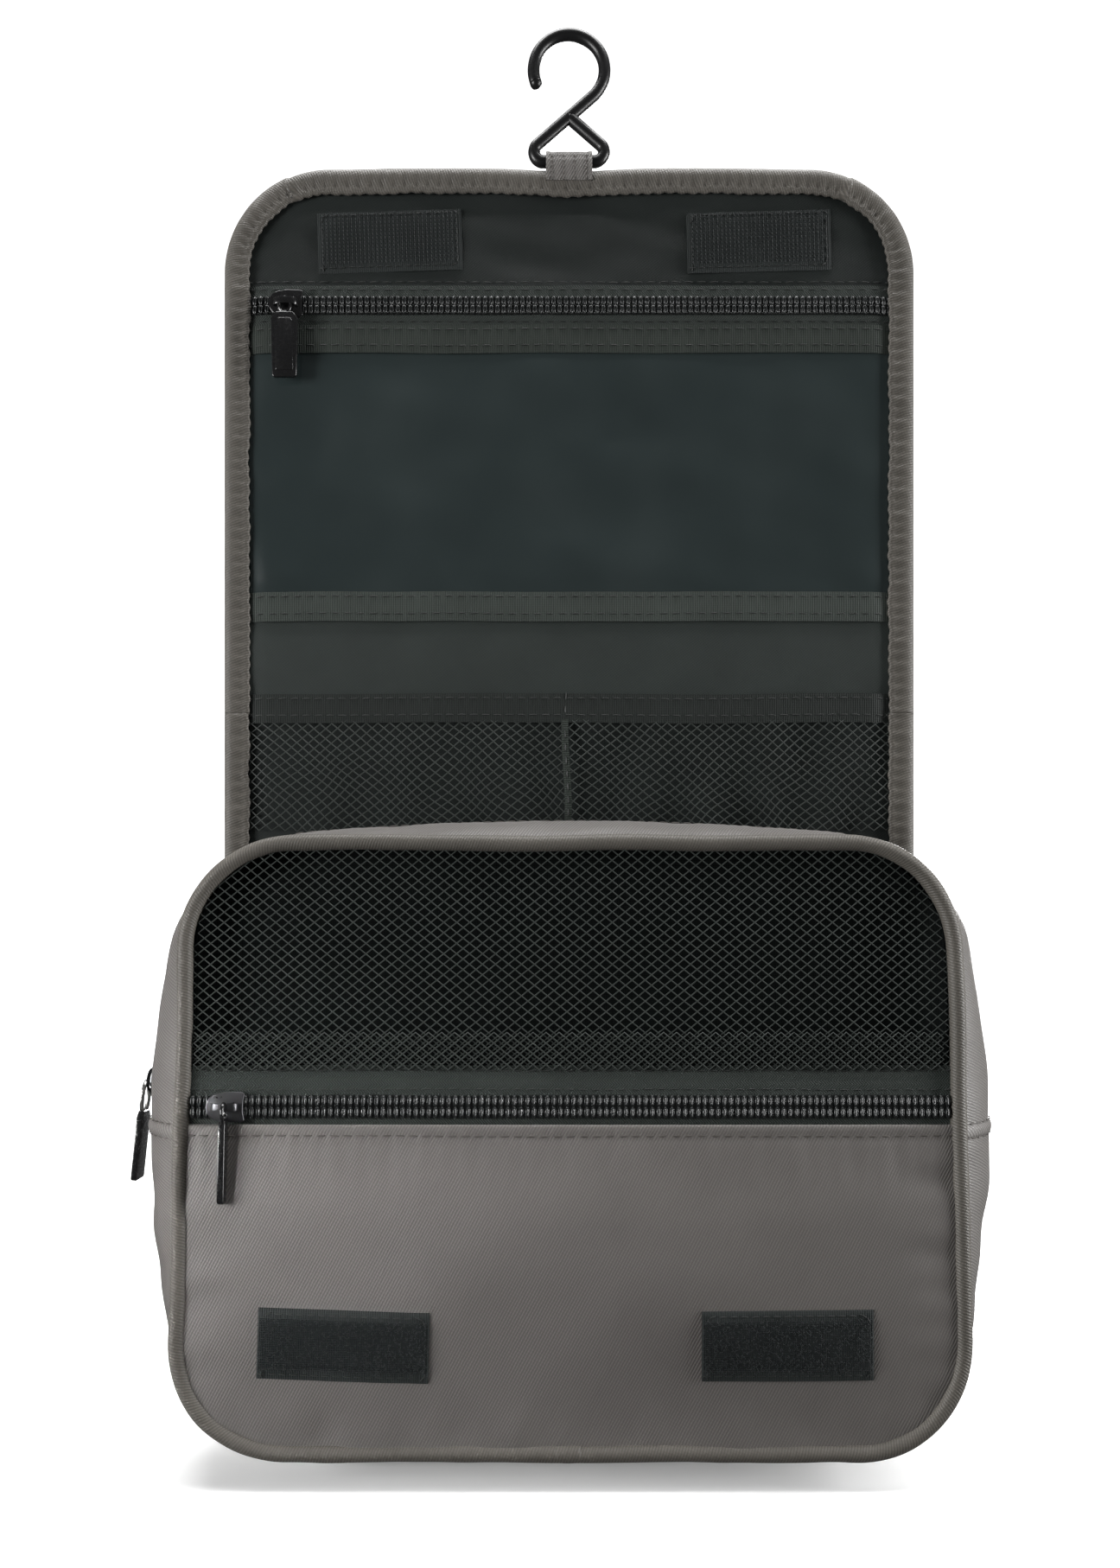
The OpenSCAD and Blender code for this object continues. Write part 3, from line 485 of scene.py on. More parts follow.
def pileTree():
    # Short curved hairs that stand on the faces of a pad, with the pad kept under them.
    tree, given, out = newTree("pile",
                               [("Density", "Float", 1e6), ("Length", "Float", 0.0012), ("Hair", "Float", 0.00006),
                                        ("Lean", "Float", 0.9), ("Seed", "Int", 5), ("Material", "Material", None)])
    spots = node(tree, "GeometryNodeDistributePointsOnFaces",
                 {"Mesh": given["Geometry"], "Density": given["Density"], "Seed": given["Seed"]})
    height = node(tree, "ShaderNodeCombineXYZ", {2: given["Length"]})
    away = math2(tree, "MULTIPLY", given["Length"], 0.7)
    tip = node(tree, "ShaderNodeCombineXYZ", {0: away, 2: away})
    strand = node(tree, "GeometryNodeCurveQuadraticBezier",
                  {"Resolution": 4, "Start": (0, 0, 0), "Middle": height.outputs[0], "End": tip.outputs[0]})
    ring = node(tree, "GeometryNodeCurvePrimitiveCircle", {"Resolution": 3, "Radius": given["Hair"]})
    hair = node(tree, "GeometryNodeCurveToMesh", {"Curve": strand.outputs[0], "Profile Curve": ring.outputs[0]})
    spin = node(tree, "FunctionNodeRandomValue", {"Seed": given["Seed"]}, data_type="FLOAT_VECTOR")
    lean = node(tree, "ShaderNodeCombineXYZ", {0: given["Lean"], 1: given["Lean"], 2: 6.28})
    back = node(tree, "ShaderNodeVectorMath", {0: lean.outputs[0], 1: (-1, -1, 0)}, operation="MULTIPLY")
    tree.links.new(back.outputs[0], spin.inputs[0])
    tree.links.new(lean.outputs[0], spin.inputs[1])
    tilt = node(tree, "FunctionNodeEulerToRotation", {0: spin.outputs[0]})
    both = node(tree, "FunctionNodeRotateRotation",
                {"Rotation": spots.outputs["Rotation"], "Rotate By": tilt.outputs[0]}, rotation_space="LOCAL")
    placed = node(tree, "GeometryNodeInstanceOnPoints",
                  {"Points": spots.outputs[0], "Instance": hair.outputs[0], "Rotation": both.outputs[0]})
    solid = node(tree, "GeometryNodeRealizeInstances", {"Geometry": placed.outputs[0]})
    smooth = node(tree, "GeometryNodeSetShadeSmooth", {"Geometry": solid.outputs[0]})
    coloured = node(tree, "GeometryNodeSetMaterial", {"Geometry": smooth.outputs[0], "Material": given["Material"]})
    whole = node(tree, "GeometryNodeJoinGeometry")
    tree.links.new(coloured.outputs[0], whole.inputs[0])
    tree.links.new(given["Geometry"], whole.inputs[0])
    tree.links.new(whole.outputs[0], out.inputs[0])
    return tree


stitches, teeth, netting, pile = stitchTree(), toothTree(), netTree(), pileTree()
print("finishes")
shellCloth = fabric("shellTwill", (0.133, 0.123, 0.115), "twill", 0.85, turn=28, contrast=0.36, relief=0.085,
                    roughness=0.48, sheen=0.10, broad=0.04, specular=0.55)
bindCloth = fabric("bindingTwill", (0.104, 0.095, 0.082), "twill", 0.85, turn=20, contrast=0.34, relief=0.085,
                   roughness=0.50, sheen=0.06, broad=0.10, specular=0.45)
liningCloth = fabric("liningNylon", (0.0102, 0.0138, 0.0128), "plain", 0.42, turn=20, contrast=0.45, relief=0.06,
                     roughness=0.62, sheen=0.05, broad=0.10, specular=0.3)
# A lighter copy of the lining nylon: painted light, laid over the lining's lower band so that it looks more lit than
# the lining's top.
liningPaintedLight = fabric("liningPaintedLightNylon", (0.0245, 0.0310, 0.0285), "plain", 0.42, turn=20, contrast=0.45, relief=0.06,
                   roughness=0.62, sheen=0.05, broad=0.10, specular=0.3)
# A much darker copy of the lining, with no sheen: painted shade for the divider that lies deep behind the front net.
liningPaintedShade = fabric("liningPaintedShadeNylon", (0.0030, 0.0044, 0.0042), "plain", 0.6, contrast=0.4, relief=0.05, roughness=0.8,
                   sheen=0.0, broad=0.15, specular=0.12)
darkRibbon = fabric("darkGrosgrain", (0.0105, 0.0140, 0.0122), "rib", 0.78, contrast=0.5, relief=0.12, roughness=0.7,
                    sheen=0.04, broad=0.12)
# A paler copy of the grosgrain: painted light, so that the lower window ribbon looks more lit than the upper one.
grosgrainPaintedLight = fabric("grosgrainPaintedLightCopy", (0.038, 0.047, 0.041), "rib", 0.78, contrast=0.5, relief=0.12, roughness=0.7,
                    sheen=0.06, broad=0.12)
ribbonCloth = fabric("grosgrain", (0.0235, 0.0300, 0.0250), "rib", 0.78, contrast=0.5, relief=0.12, roughness=0.7,
                     sheen=0.06, broad=0.12)
tapeCloth = fabric("zipTape", (0.0315, 0.0385, 0.0345), "herringbone", 0.85, contrast=0.62, relief=0.12,
                   roughness=0.75, sheen=0.06, broad=0.08)
selvageCloth = fabric("selvage", (0.0155, 0.0195, 0.0190), "rib", 0.7, contrast=0.45, relief=0.12, roughness=0.7,
                      sheen=0.06)
pileCloth = fabric("pileGround", (0.0075, 0.0105, 0.0110), "plain", 0.5, contrast=0.5, relief=0.2, roughness=0.9,
                   sheen=0.3)
foam = fabric("foam", (0.30, 0.30, 0.27), "plain", 0.9, contrast=0.15, relief=0.2, roughness=0.95, sheen=0.1)
hookPlastic = gloss("hookEnamel", (0.007, 0.007, 0.0075), 0.36, specular=0.4, spread=0.04, grainSize=1500)
blackEnamel = gloss("blackEnamel", (0.006, 0.006, 0.0065), 0.24, coat=0.35, grain=0.01, spread=0.07)
coilNylon = gloss("coilNylon", (0.015, 0.017, 0.017), 0.27, specular=0.55, spread=0.06)
gunmetal = gloss("gunmetal", (0.085, 0.085, 0.09), 0.36, metallic=1.0, grain=0.02, spread=0.09)
paleMetal = gloss("paleMetal", (0.40, 0.40, 0.39), 0.30, metallic=1.0, grain=0.02)
netThread = gloss("netThread", (0.040, 0.047, 0.043), 0.48, specular=0.5, grainSize=2500, spread=0.1)
hairNylon = gloss("pileHair", (0.020, 0.025, 0.026), 0.5, grainSize=3000, spread=0.1)
taupeThread = gloss("taupeThread", (0.078, 0.070, 0.062), 0.5, grain=0.05, grainSize=3500, spread=0.1)
darkThread = gloss("darkThread", (0.012, 0.014, 0.013), 0.5, grain=0.05, grainSize=3500, spread=0.1)


def filmMaterial():
    # Clear film over dark lining: partly see-through, faintly hazy and scuffed.
    material, tree, shader = newMaterial("windowFilm")
    coords = node(tree, "ShaderNodeTexCoord").outputs["Object"]
    haze, scuff = noise(tree, coords, 26.0), noise(tree, coords, 70.0, 5.0, 0.55)
    link(tree, shader, {
        "Base Color": tones(tree, haze, (0.028, 0.040, 0.041), (0.046, 0.062, 0.062)),
        "Roughness": ramp(tree, haze, 0.3, 0.7, 0.20, 0.34),
        "Normal": relieved(tree, scuff, 0.12, 0.5)})
    setValues(shader, {"Alpha": 0.62, "Specular IOR Level": 0.5, "Coat Weight": 0.12, "Coat Roughness": 0.2})
    return material


windowPlastic = filmMaterial()

# The flap's cloth: its lining, padding and shell, in an upper and a lower piece that meet under the net's ribbon.
flap = {"half": 120.0, "top": -45.6, "corner": 37.0, "split": -235.4, "coverFold": -218.5, "bodyFold": -271.0,
        "bottom": -470.2, "bodyCorner": 35.0, "face": -1.5, "crown": 1.6, "tuck": 112.4}
coverStart, coverEnd = (0, 0, -0.2110), (0, 0, -0.2260)
foldStart, foldEnd = (0, 0, -0.2635), (0, 0, -0.2785)
upperJoint = ("flap_upper", "flap_lower", coverStart, coverEnd)
lowerJoint = ("flap_lower", "body", foldStart, foldEnd)


def outlineRows(zTop, zBottom, half, cornerTop, cornerBottom, inset, step):
    # Heights from zTop to zBottom, with half the width of a round-cornered panel at each.
    z, w = [], []
    if cornerTop:
        r = cornerTop - inset
        for a in np.linspace(90, 0, 22):
            z.append(zTop - cornerTop + r * math.sin(math.radians(a)))
            w.append(half - cornerTop + r * math.cos(math.radians(a)))
        zTop = zTop - cornerTop
    low = zBottom + (cornerBottom if cornerBottom else 0)
    for s in np.linspace(zTop, low, max(2, int((zTop - low) / step)))[1 if cornerTop else 0:]:
        z.append(s)
        w.append(half - inset)
    if cornerBottom:
        r = cornerBottom - inset
        for a in np.linspace(0, -90, 22)[1:]:
            z.append(low + r * math.sin(math.radians(a)))
            w.append(half - cornerBottom + r * math.cos(math.radians(a)))
    return np.array(z), np.array(w)


def flatCloth(name, rows, depth, material, facing, thickness, columns=90):
    z, w = rows
    x = w[:, None] * np.linspace(-1, 1, columns)[None]
    zz = np.repeat(z[:, None], columns, 1)
    points = np.stack([x, depth(x, zz), zz], -1)
    return gridMesh(name, points, np.stack([x, zz], -1), material, facing, thickness)


def liningDepth(x, z):
    edge = smoothStep(0, 26, 112 - np.abs(x))
    puckers = 0.22 * np.sin(z * 2 * math.pi / 6.3 + 2 * ripple(x, z, 30, 4)) * bump(112 - np.abs(x), 3, 6)
    top = smoothStep(-84, -78, z)
    soft = (0.32 + 0.35 * top) * ripple(x * 0.6 + z * 0.35, z, 21, 8) * edge
    creases = 0.35 * (bump(z, -210.5 - 0.02 * x, 1.6) + bump(z, -223.0 + 0.015 * x, 1.9)) * bump(np.abs(x), 108, 38)
    return flap["face"] - 0.1 + np.clip(soft + puckers, -0.35, 0.7) + creases


def shellDepth(x, z):
    dome = flap["crown"] * (1 - (x / 122) ** 4)
    return 1.8 + dome * smoothStep(-45, -75, z) * smoothStep(-471, -445, z) + 0.30 * ripple(x, z, 46, 12)


print("flap cloth")
rowsA = outlineRows(flap["top"], flap["split"], flap["half"], flap["corner"], 0, 0.9, 3.0)
rowsB = outlineRows(flap["split"], flap["bottom"], flap["half"], 0, flap["bodyCorner"], 0.9, 3.0)
for suffix, rows, joint in (("Upper", rowsA, upperJoint), ("Lower", rowsB, lowerJoint)):
    lining = flatCloth("lining" + suffix, rows, liningDepth, liningCloth, (0, -1, 0), 0.45)
    shell = flatCloth("shell" + suffix, rows, shellDepth, shellCloth, (0, 1, 0), 0.75)
    padding = flatCloth("padding" + suffix, rows, lambda x, z: 0.95 + 0.9 * (shellDepth(x, z) - 1.8), foam,
                        (0, 1, 0), 1.9, 60)
    for piece, kind, slot in ((lining, "lining", "lining_fabric"), (shell, "shell", "shell_fabric"),
                              (padding, "padding", "foam")):
        nodes = ["flap_" + kind + "_" + suffix.lower()] + (["back_" + kind] if suffix == "Lower" else [])
        fit(piece, joint, nodes)

# The binding: a folded twill strip over the edge, drawn in by its stitches.
binding = {"stitch": 6.2, "pitch": 4.0, "foot": -293.0, "frontThread": -2.28, "backThread": 3.45}


def topSag(x):
    # The top edge is drawn down beside the loop that carries the weight.
    return 1.3 * bump(x, 0, 17) + 0.5 * smoothStep(50, 84, np.abs(x))


def bindingStrip(name, path, bulges=(), runStart=0.0):
    run = runStart + np.concatenate([[0], np.cumsum(np.linalg.norm(np.diff(path, axis=0), axis=1))])
    base = np.array([(9.0, -1.55), (9.05, -2.0), (8.5, -2.5), (7.4, -2.55), (6.2, -2.05), (5.0, -2.6), (3.2, -2.95),
                     (1.4, -2.75),
                     (0.35, -2.0), (0, -0.8), (0, 1.0), (0.35, 2.5), (1.4, 3.3), (3.2, 3.65), (5.0, 3.5), (6.2, 3.2),
                     (7.4, 3.5),
                     (8.5, 3.4), (9.05, 2.9), (9.0, 2.3), (5.0, 2.3), (0.8, 1.6), (0.7, 0), (0.8, -1.3),
                     (5.0, -1.55)])
    prof = np.repeat(base[None], len(path), 0)
    d = prof[..., 0]
    front = prof[..., 1] < 0
    beat = np.sin(run * 2 * math.pi / binding["pitch"])[:, None]
    lipWave = (0.22 * beat + 0.35 * ripple(run, run * 0, 17, 21)[:, None]) * (d > 7)
    prof[..., 0] = d + lipWave
    pucker = 0.30 * beat * bump(d, 6.2, 2.0) + 0.22 * ripple(run, run * 0, 9, 5)[:, None] * bump(d, 4, 3.5)
    prof[..., 1] += np.where(front, pucker, -pucker)
    for centre, spread, high in bulges:
        prof[..., 1] -= high * bump(path[:, 2], centre, spread)[:, None] * np.where(front, smoothStep(3.5, 7.5, d), 0)
    sag = path.copy()
    sag[:, 2] -= topSag(path[:, 0]) * (path[:, 2] > flap["top"] - 3)
    return sweep(name, sag, -yPlus, prof, bindCloth)


def arc(cx, cz, r, a0, a1, steps):
    a = np.radians(np.linspace(a0, a1, steps))
    return np.stack([cx + r * np.cos(a), 0 * a, cz + r * np.sin(a)], 1)


def line(a, b, step):
    a, b = np.array(a, float), np.array(b, float)
    n = max(2, int(np.linalg.norm(b - a) / step) + 1)
    return a + (b - a) * np.linspace(0, 1, n)[:, None]


def chain(*runs):
    # Runs of points end to end, with the point that two share kept once.
    return np.vstack([runs[0]] + [run[1:] for run in runs[1:]])


def flapEdge(inset=0.0):
    # The flap's edge from its lower left, over the top, to its lower right.
    h, r, t, low = flap["half"], flap["corner"], flap["top"], flap["split"]
    return chain(line((-h + inset, 0, low), (-h + inset, 0, t - r), 0.8), arc(-h + r, t - r, r - inset, 180, 90, 60),
                 line((-h + r, 0, t - inset), (h - r, 0, t - inset), 0.8), arc(h - r, t - r, r - inset, 90, 0, 60),
                 line((h - inset, 0, t - r), (h - inset, 0, low), 0.8))


print("binding")
zipBulges = [(-93.9, 5.5, 1.6), (-105.5, 5.0, 0.6), (-198.3, 5.0, 0.6), (-233.7, 5.0, 0.7)]
upperPath = flapEdge()
upperBinding = bindingStrip("bindingUpper", upperPath, zipBulges)
upperLength = np.linalg.norm(np.diff(upperPath, axis=0), axis=1).sum()
fit(upperBinding, upperJoint, ["flap_binding_upper"])
lowerParts = []
for s in (-1, 1):
    a, b = (s * flap["half"], 0, flap["split"]), (s * flap["half"], 0, binding["foot"])
    path = line(b, a, 0.8) if s < 0 else line(a, b, 0.8)
    runStart = binding["foot"] - flap["split"] if s < 0 else upperLength
    lowerParts.append(bindingStrip("bindingLower" + ("Left" if s < 0 else "Right"), path, zipBulges[3:], runStart))
lowerBinding = join("bindingLower", lowerParts)
fit(lowerBinding, lowerJoint, ["flap_bindings_lower", "back_bindings"])


def tucked(x):
    # From 0 under the binding at the sides to 1 clear of it.
    return smoothStep(-0.5, 8, flap["tuck"] - np.abs(x))


def faceStrip(name, z, height, n, material, thickness=0.5, wave=0.25, seed=1, roll=0.0, rows=9):
    # A strip that lies on the flap's face, whose ends dip under the binding.
    half = flap["tuck"]
    x, t = np.meshgrid(np.linspace(-half, half, 230), np.linspace(0.5, -0.5, rows), indexing="ij")
    lift = tucked(x)
    zz = z + t * height + wave * ripple(x, 0 * x, 60, seed)
    out = 0.3 + (n - 0.3) * lift + 0.10 * ripple(x, zz, 22, seed + 5) + roll * (1 - (2 * t) ** 2)
    points = np.stack([x, flap["face"] - out, zz], -1)
    return gridMesh(name, points, np.stack([x, t * height], -1), material, (0, -1, 0), thickness)


print("flap face")
facePieces = {
    "flapTapeTop": faceStrip("flapTapeTop", -90.3, 7.0, 1.15, tapeCloth, 0.4, seed=31, wave=0.1),
    "flapTapeBottom": faceStrip("flapTapeBottom", -97.6, 6.6, 1.15, tapeCloth, 0.4, seed=32, wave=0.1),
    "ribbonTop": faceStrip("ribbonTop", -105.5, 9.8, 1.85, ribbonCloth, 0.5, seed=33, roll=0.12),
    # The lighter lining copy over the lining's band: painted light.
    "liningPaintedLightBand": faceStrip("liningPaintedLightBand", -216.0, 26.5, 0.75, liningPaintedLight, 0.35, seed=37, rows=24, roll=0.5),
    # The lower ribbon takes the paler grosgrain copy: painted light.
    "ribbonBottom": faceStrip("ribbonBottom", -198.3, 10.2, 1.85, grosgrainPaintedLight, 0.5, seed=34, roll=0.12),
}


def windowSheet():
    x, z = np.meshgrid(np.linspace(-flap["tuck"], flap["tuck"], 150), np.linspace(-106.8, -196.8, 70), indexing="ij")
    free = smoothStep(0, 12, flap["tuck"] - np.abs(x)) * smoothStep(0, 10, -106 - z) * smoothStep(0, 10, z + 197)
    lift = tucked(x)
    soft = 0.55 * ripple(x * 0.55 + z * 0.3, z, 34, 41) + 0.25 * ripple(x, z * 0.6, 16, 43)
    out = 0.3 + 0.7 * lift + free * (0.45 + np.clip(soft, -0.7, 0.9))
    points = np.stack([x, flap["face"] - out, z], -1)
    return gridMesh("windowFilm", points, np.stack([x, z], -1), windowPlastic, (0, -1, 0), 0.2)


facePieces["windowFilm"] = windowSheet()
for name, slot, nodeName in (("flapTapeTop", "woven_tape", "flap_zip_tape_top"),
                             ("flapTapeBottom", "woven_tape", "flap_zip_tape_bottom"),
                             ("ribbonTop", "woven_tape", "window_ribbon_top"),
                             ("ribbonBottom", "woven_tape", "window_ribbon_bottom"),
                             ("windowFilm", "clear_film", "window_film")):
    fit(facePieces[name], "flap_upper", [nodeName])
fit(facePieces["liningPaintedLightBand"], upperJoint)

# The net pocket across the foot of the flap.
netPocket = {"top": -233.7, "foot": -276.0, "wide": 4.0, "tall": 3.3, "thread": 0.22}


def pocketOut(x, z):
    share = np.clip((netPocket["top"] - z) / (netPocket["top"] - netPocket["foot"]), 0, 1)
    gather = 1.3 * ripple(x, z * 0.25, 26, 55) * share ** 0.8 + 0.9 * np.sin(math.pi * share)
    ends = smoothStep(0, 9, flap["tuck"] - np.abs(x))
    return 0.5 + (0.9 + np.clip(gather, -0.6, 2.6)) * ends


def latticeRows(xHalf, zTop, zLow, wide, tall, shift=0.0):
    # Diamond mesh: every crossing once, and the threads between them.
    cols, rows = int(2 * xHalf / (wide / 2)), int((zTop - zLow) / (tall / 2))
    ids, points, edges = {}, [], []
    for j in range(rows + 1):
        for i in range(cols + 1):
            if (i + j) % 2 == 0:
                ids[i, j] = len(points)
                points.append((-xHalf + i * 2 * xHalf / cols + shift, zTop - j * (zTop - zLow) / rows))
    for (i, j), k in ids.items():
        for di in (-1, 1):
            if (i + di, j + 1) in ids:
                edges.append((k, ids[i + di, j + 1]))
    return np.array(points), edges


def netMesh(name, lattice, onto, keep, thread):
    # Threads along the edges of a flat lattice, where keep holds, laid onto their surface.
    points, edges = lattice
    ok = keep(points[:, 0], points[:, 1])
    index = np.cumsum(ok) - 1
    edges = [(int(index[a]), int(index[b])) for a, b in edges if ok[a] and ok[b]]
    mesh = bpy.data.meshes.new(name)
    mesh.from_pydata((onto(points[ok, 0], points[ok, 1]) * mm).tolist(), edges, [])
    return grow(place(name, mesh), netting, {"Thread": thread * mm, "Sides": 4, "Material": netThread})


def pocketPlace(x, z):
    share = np.clip((netPocket["top"] - z) / 37, 0, 1)
    pull = 1.1 * ripple(x, z, 26, 58) * share
    return np.stack([x + pull, flap["face"] - pocketOut(x, z), z + 0.5 * ripple(x, z, 31, 59)], 1)


pocketLattice = latticeRows(flap["tuck"], netPocket["top"], netPocket["foot"], netPocket["wide"], netPocket["tall"])
pocketNet = netMesh("pocketNet", pocketLattice, pocketPlace, lambda x, z: z < 0, netPocket["thread"])
pocketRibbon = faceStrip("pocketRibbon", -233.7, 10.0, 1.95, darkRibbon, 0.5, seed=36, roll=0.15, wave=0.35)
seamX = np.linspace(-1.2, 1.2, 5)
xx, zz = np.meshgrid(seamX - 0.9, np.linspace(-237.5, -275.5, 34), indexing="ij")
seamPoints = np.stack([xx + 0.6 * np.sin(zz / 9), flap["face"] - pocketOut(xx, zz) - 0.55 + 0.15 * (xx + 0.9) ** 2,
                       zz], -1)
pocketSeam = gridMesh("pocketSeam", seamPoints, np.stack([zz, xx], -1), ribbonCloth, (0, -1, 0), 0.35)
fit(pocketNet, lowerJoint, ["mesh_pocket_net"])
fit(pocketRibbon, "flap_lower", ["mesh_pocket_ribbon"])
fit(pocketSeam, lowerJoint, ["mesh_pocket_seam"])

# The body: a leaning front in a round-cornered outline, with a soft gusset behind it.
body = {"half": 120.0, "top": -280.2, "height": 190.0, "corner": 35.0, "mid": -375.2, "lean": 4.514, "midDepth": 52.5,
        "depthTop": 45.0, "depthBottom": 60.0, "mouthDrop": 72.4, "zipDrop": 84.2}
leanCos, leanSin = math.cos(math.radians(body["lean"])), math.sin(math.radians(body["lean"]))
frontNormal = np.array([0.0, -leanCos, leanSin])
frontUp = np.array([0.0, leanSin, leanCos])


def onFront(x, drop, n):
    # A point of the leaning front: drop is measured down from the body's top, n out from the front's plane.
    up = (body["height"] / 2 - drop) / leanCos
    return np.stack([x + 0 * up, -body["midDepth"] - n * leanCos + up * leanSin + 0 * x,
                     body["mid"] + n * leanSin + up * leanCos + 0 * x], -1)


mouthZ = body["top"] - body["mouthDrop"]
mouthY = onFront(np.array(0.0), np.array(body["mouthDrop"]), np.array(0.0))[1]
mouthStart, mouthEnd = (0, mouthY * mm, (mouthZ + 4) * mm), (0, mouthY * mm, (mouthZ - 4) * mm)

print("front piping")
piping = {"radius": 2.55, "half": 119.7, "topDrop": 2.4, "footDrop": 187.6, "corner": 33.0}


def loopPath(half, top, foot, r, step, shape):
    # A round-cornered loop of x and drop, that starts and ends near the middle of the foot.
    def bend(cx, cd, a0, a1):
        a = np.radians(np.linspace(a0, a1, 26))
        return np.stack([cx + r * np.cos(a), cd - r * np.sin(a)], 1)

    def straight(a, b):
        a, b = np.array(a, float), np.array(b, float)
        return a + (b - a) * np.linspace(0, 1, int(np.linalg.norm(b - a) / step) + 2)[:, None]

    start = -1.0
    runs = [straight((start, foot), (half - r, foot)), bend(half - r, foot - r, -90, 0),
            straight((half, foot - r), (half, top + r)),
            bend(half - r, top + r, 0, 90), straight((half - r, top), (-half + r, top)),
            bend(-half + r, top + r, 90, 180),
            straight((-half, top + r), (-half, foot - r)), bend(-half + r, foot - r, 180, 270),
            straight((-half + r, foot), (start, foot))]
    p = chain(*runs)
    return shape(p[:-1, 0], p[:-1, 1])


def pipingShape(x, drop):
    sway = 0.35 * ripple(x, drop, 55, 71)
    return onFront(x * (1 + sway / 120), drop + 0.3 * ripple(x, drop, 48, 73), 0.1 + 0 * x)


pipePath = loopPath(piping["half"], piping["topDrop"], piping["footDrop"], piping["corner"], 2.2, pipingShape)
swell = 1 + 0.035 * ripple(pipePath[:, 0], pipePath[:, 2], 19, 75)
frontPiping = sweep("frontPiping", pipePath, frontNormal, circleProfile(piping["radius"], 18), bindCloth,
                    closedPath=True, scale=swell)
# The piping's two ends lap over each other in the middle of the foot.
lapPath = onFront(np.linspace(-4.6, 3.2, 9), piping["footDrop"] + 0 * np.linspace(0, 1, 9), 0.1)
lapSize = 0.985 + 0.085 * np.sin(np.linspace(0.1, math.pi - 0.1, 9))
lap = sweep("frontPipingLap", lapPath, frontNormal, circleProfile(piping["radius"], 18), bindCloth, scale=lapSize)
fit(frontPiping, ("front_top", "body", mouthStart, mouthEnd),
    ["front_piping_upper", "front_piping_lower"])
fit(lap, "body")


def frontRows(dropTop, dropLow, half, cornerTop, cornerLow, step):
    z, w = outlineRows(-dropTop, -dropLow, half, cornerTop, cornerLow, 0.0, step)
    return -z, w


print("front panels")
inner = {"half": 117.8, "corner": 31.5, "top": 3.2, "foot": 186.8}
panel = {"crown": 5.0, "fold": 90.2, "stitch": 92.9}


def panelOut(x, drop):
    # The padded lower front: full in the middle, held at the piping and drawn in along its seams.
    side = 1 - (np.abs(x) / 119) ** 2.6
    below = smoothStep(190, 130, drop)
    above = 0.4 + 0.6 * smoothStep(90, 120, drop)
    full = panel["crown"] * np.clip(side, 0, 1) ** 0.8 * below ** 0.9 * above
    topPleats = 0.28 * ripple(x, drop * 0.12, 9.5, 81) * bump(drop, 99, 8)
    footPleats = 0.5 * ripple(x, drop * 0.15, 12, 83) * bump(drop, 180, 7)
    sidePleats = 0.45 * ripple(x * 0.15, drop, 15, 85) * bump(np.abs(x), 112, 9)
    soft = 0.75 * ripple(x * 0.8 + drop * 0.25, drop * 0.7, 52, 87) * smoothStep(92, 112, drop) * np.clip(side, 0, 1)
    seam = -0.28 * bump(drop, panel["stitch"], 1.3) * (1 + 0.5 * np.sin(x * 2 * math.pi / 4.0))
    hem = 0.35 * bump(drop, 91.2, 1.2)
    return 0.9 + full + topPleats + footPleats + sidePleats + soft + seam + hem


drops, widths = frontRows(panel["fold"], inner["foot"], inner["half"], 0, inner["corner"], 1.5)
x = widths[:, None] * np.linspace(-1, 1, 210)[None]
dd = np.repeat(drops[:, None], 210, 1)
nn = panelOut(x, dd)
turn = []
for a in (150, 110, 70, 35):  # the folded top edge rolls back over itself
    r = 0.8
    turn.append((x[0], dd[0] + 0 * x[0] + r * (1 - math.sin(math.radians(a))) - r * 0.9,
                 nn[0] - r + r * math.cos(math.radians(a))))
x = np.vstack([[t[0] for t in turn], x])
dd = np.vstack([[t[1] for t in turn], dd])
nn = np.vstack([[t[2] for t in turn], nn])
lowerPanel = gridMesh("frontPanel", onFront(x, dd, nn), np.stack([x, -dd], -1), shellCloth, frontNormal, 0.8)
fit(lowerPanel, "body", ["front_lower_panel"])
cutCloth(lowerPanel, 0.2380, 0.1020, "stretched", ["frontPiping"])

frontNet = {"wide": 4.0, "tall": 3.2, "thread": 0.2, "hemThread": 0.24, "hem": 61.5, "foot": 73.0}


def netOut(x, drop):
    side = np.clip(1 - (np.abs(x) / 118) ** 3, 0, 1)
    return 0.3 + 0.9 * side * smoothStep(3, 25, drop) * smoothStep(73, 55, drop) + 0.3 * ripple(x, drop, 60, 91)


def insideFront(x, drop):
    over = np.clip(inner["corner"] - (drop - inner["top"]), 0, None)
    w = inner["half"] - inner["corner"] + np.sqrt(np.clip(inner["corner"] ** 2 - over ** 2, 0, None))
    return np.abs(x) <= w


def frontPlace(x, z):
    return onFront(x, -z, netOut(x, -z))


netLattice = latticeRows(inner["half"], -inner["top"], -frontNet["foot"], frontNet["wide"], frontNet["tall"])
netA = netMesh("frontNet", netLattice, frontPlace, lambda x, z: insideFront(x, -z), frontNet["thread"])
# The net is turned over on itself along its foot.
hemLattice = latticeRows(inner["half"], -frontNet["hem"], -frontNet["foot"], frontNet["wide"], frontNet["tall"],
                         shift=1.6)
netB = netMesh("frontNetHem", hemLattice, lambda x, z: onFront(x, -z, netOut(x, -z) + 0.5),
               lambda x, z: insideFront(x, -z) & (np.abs(x) < 117), frontNet["hemThread"])
fit(join("frontNet", [netA, netB]), "front_top", ["front_net_panel"])

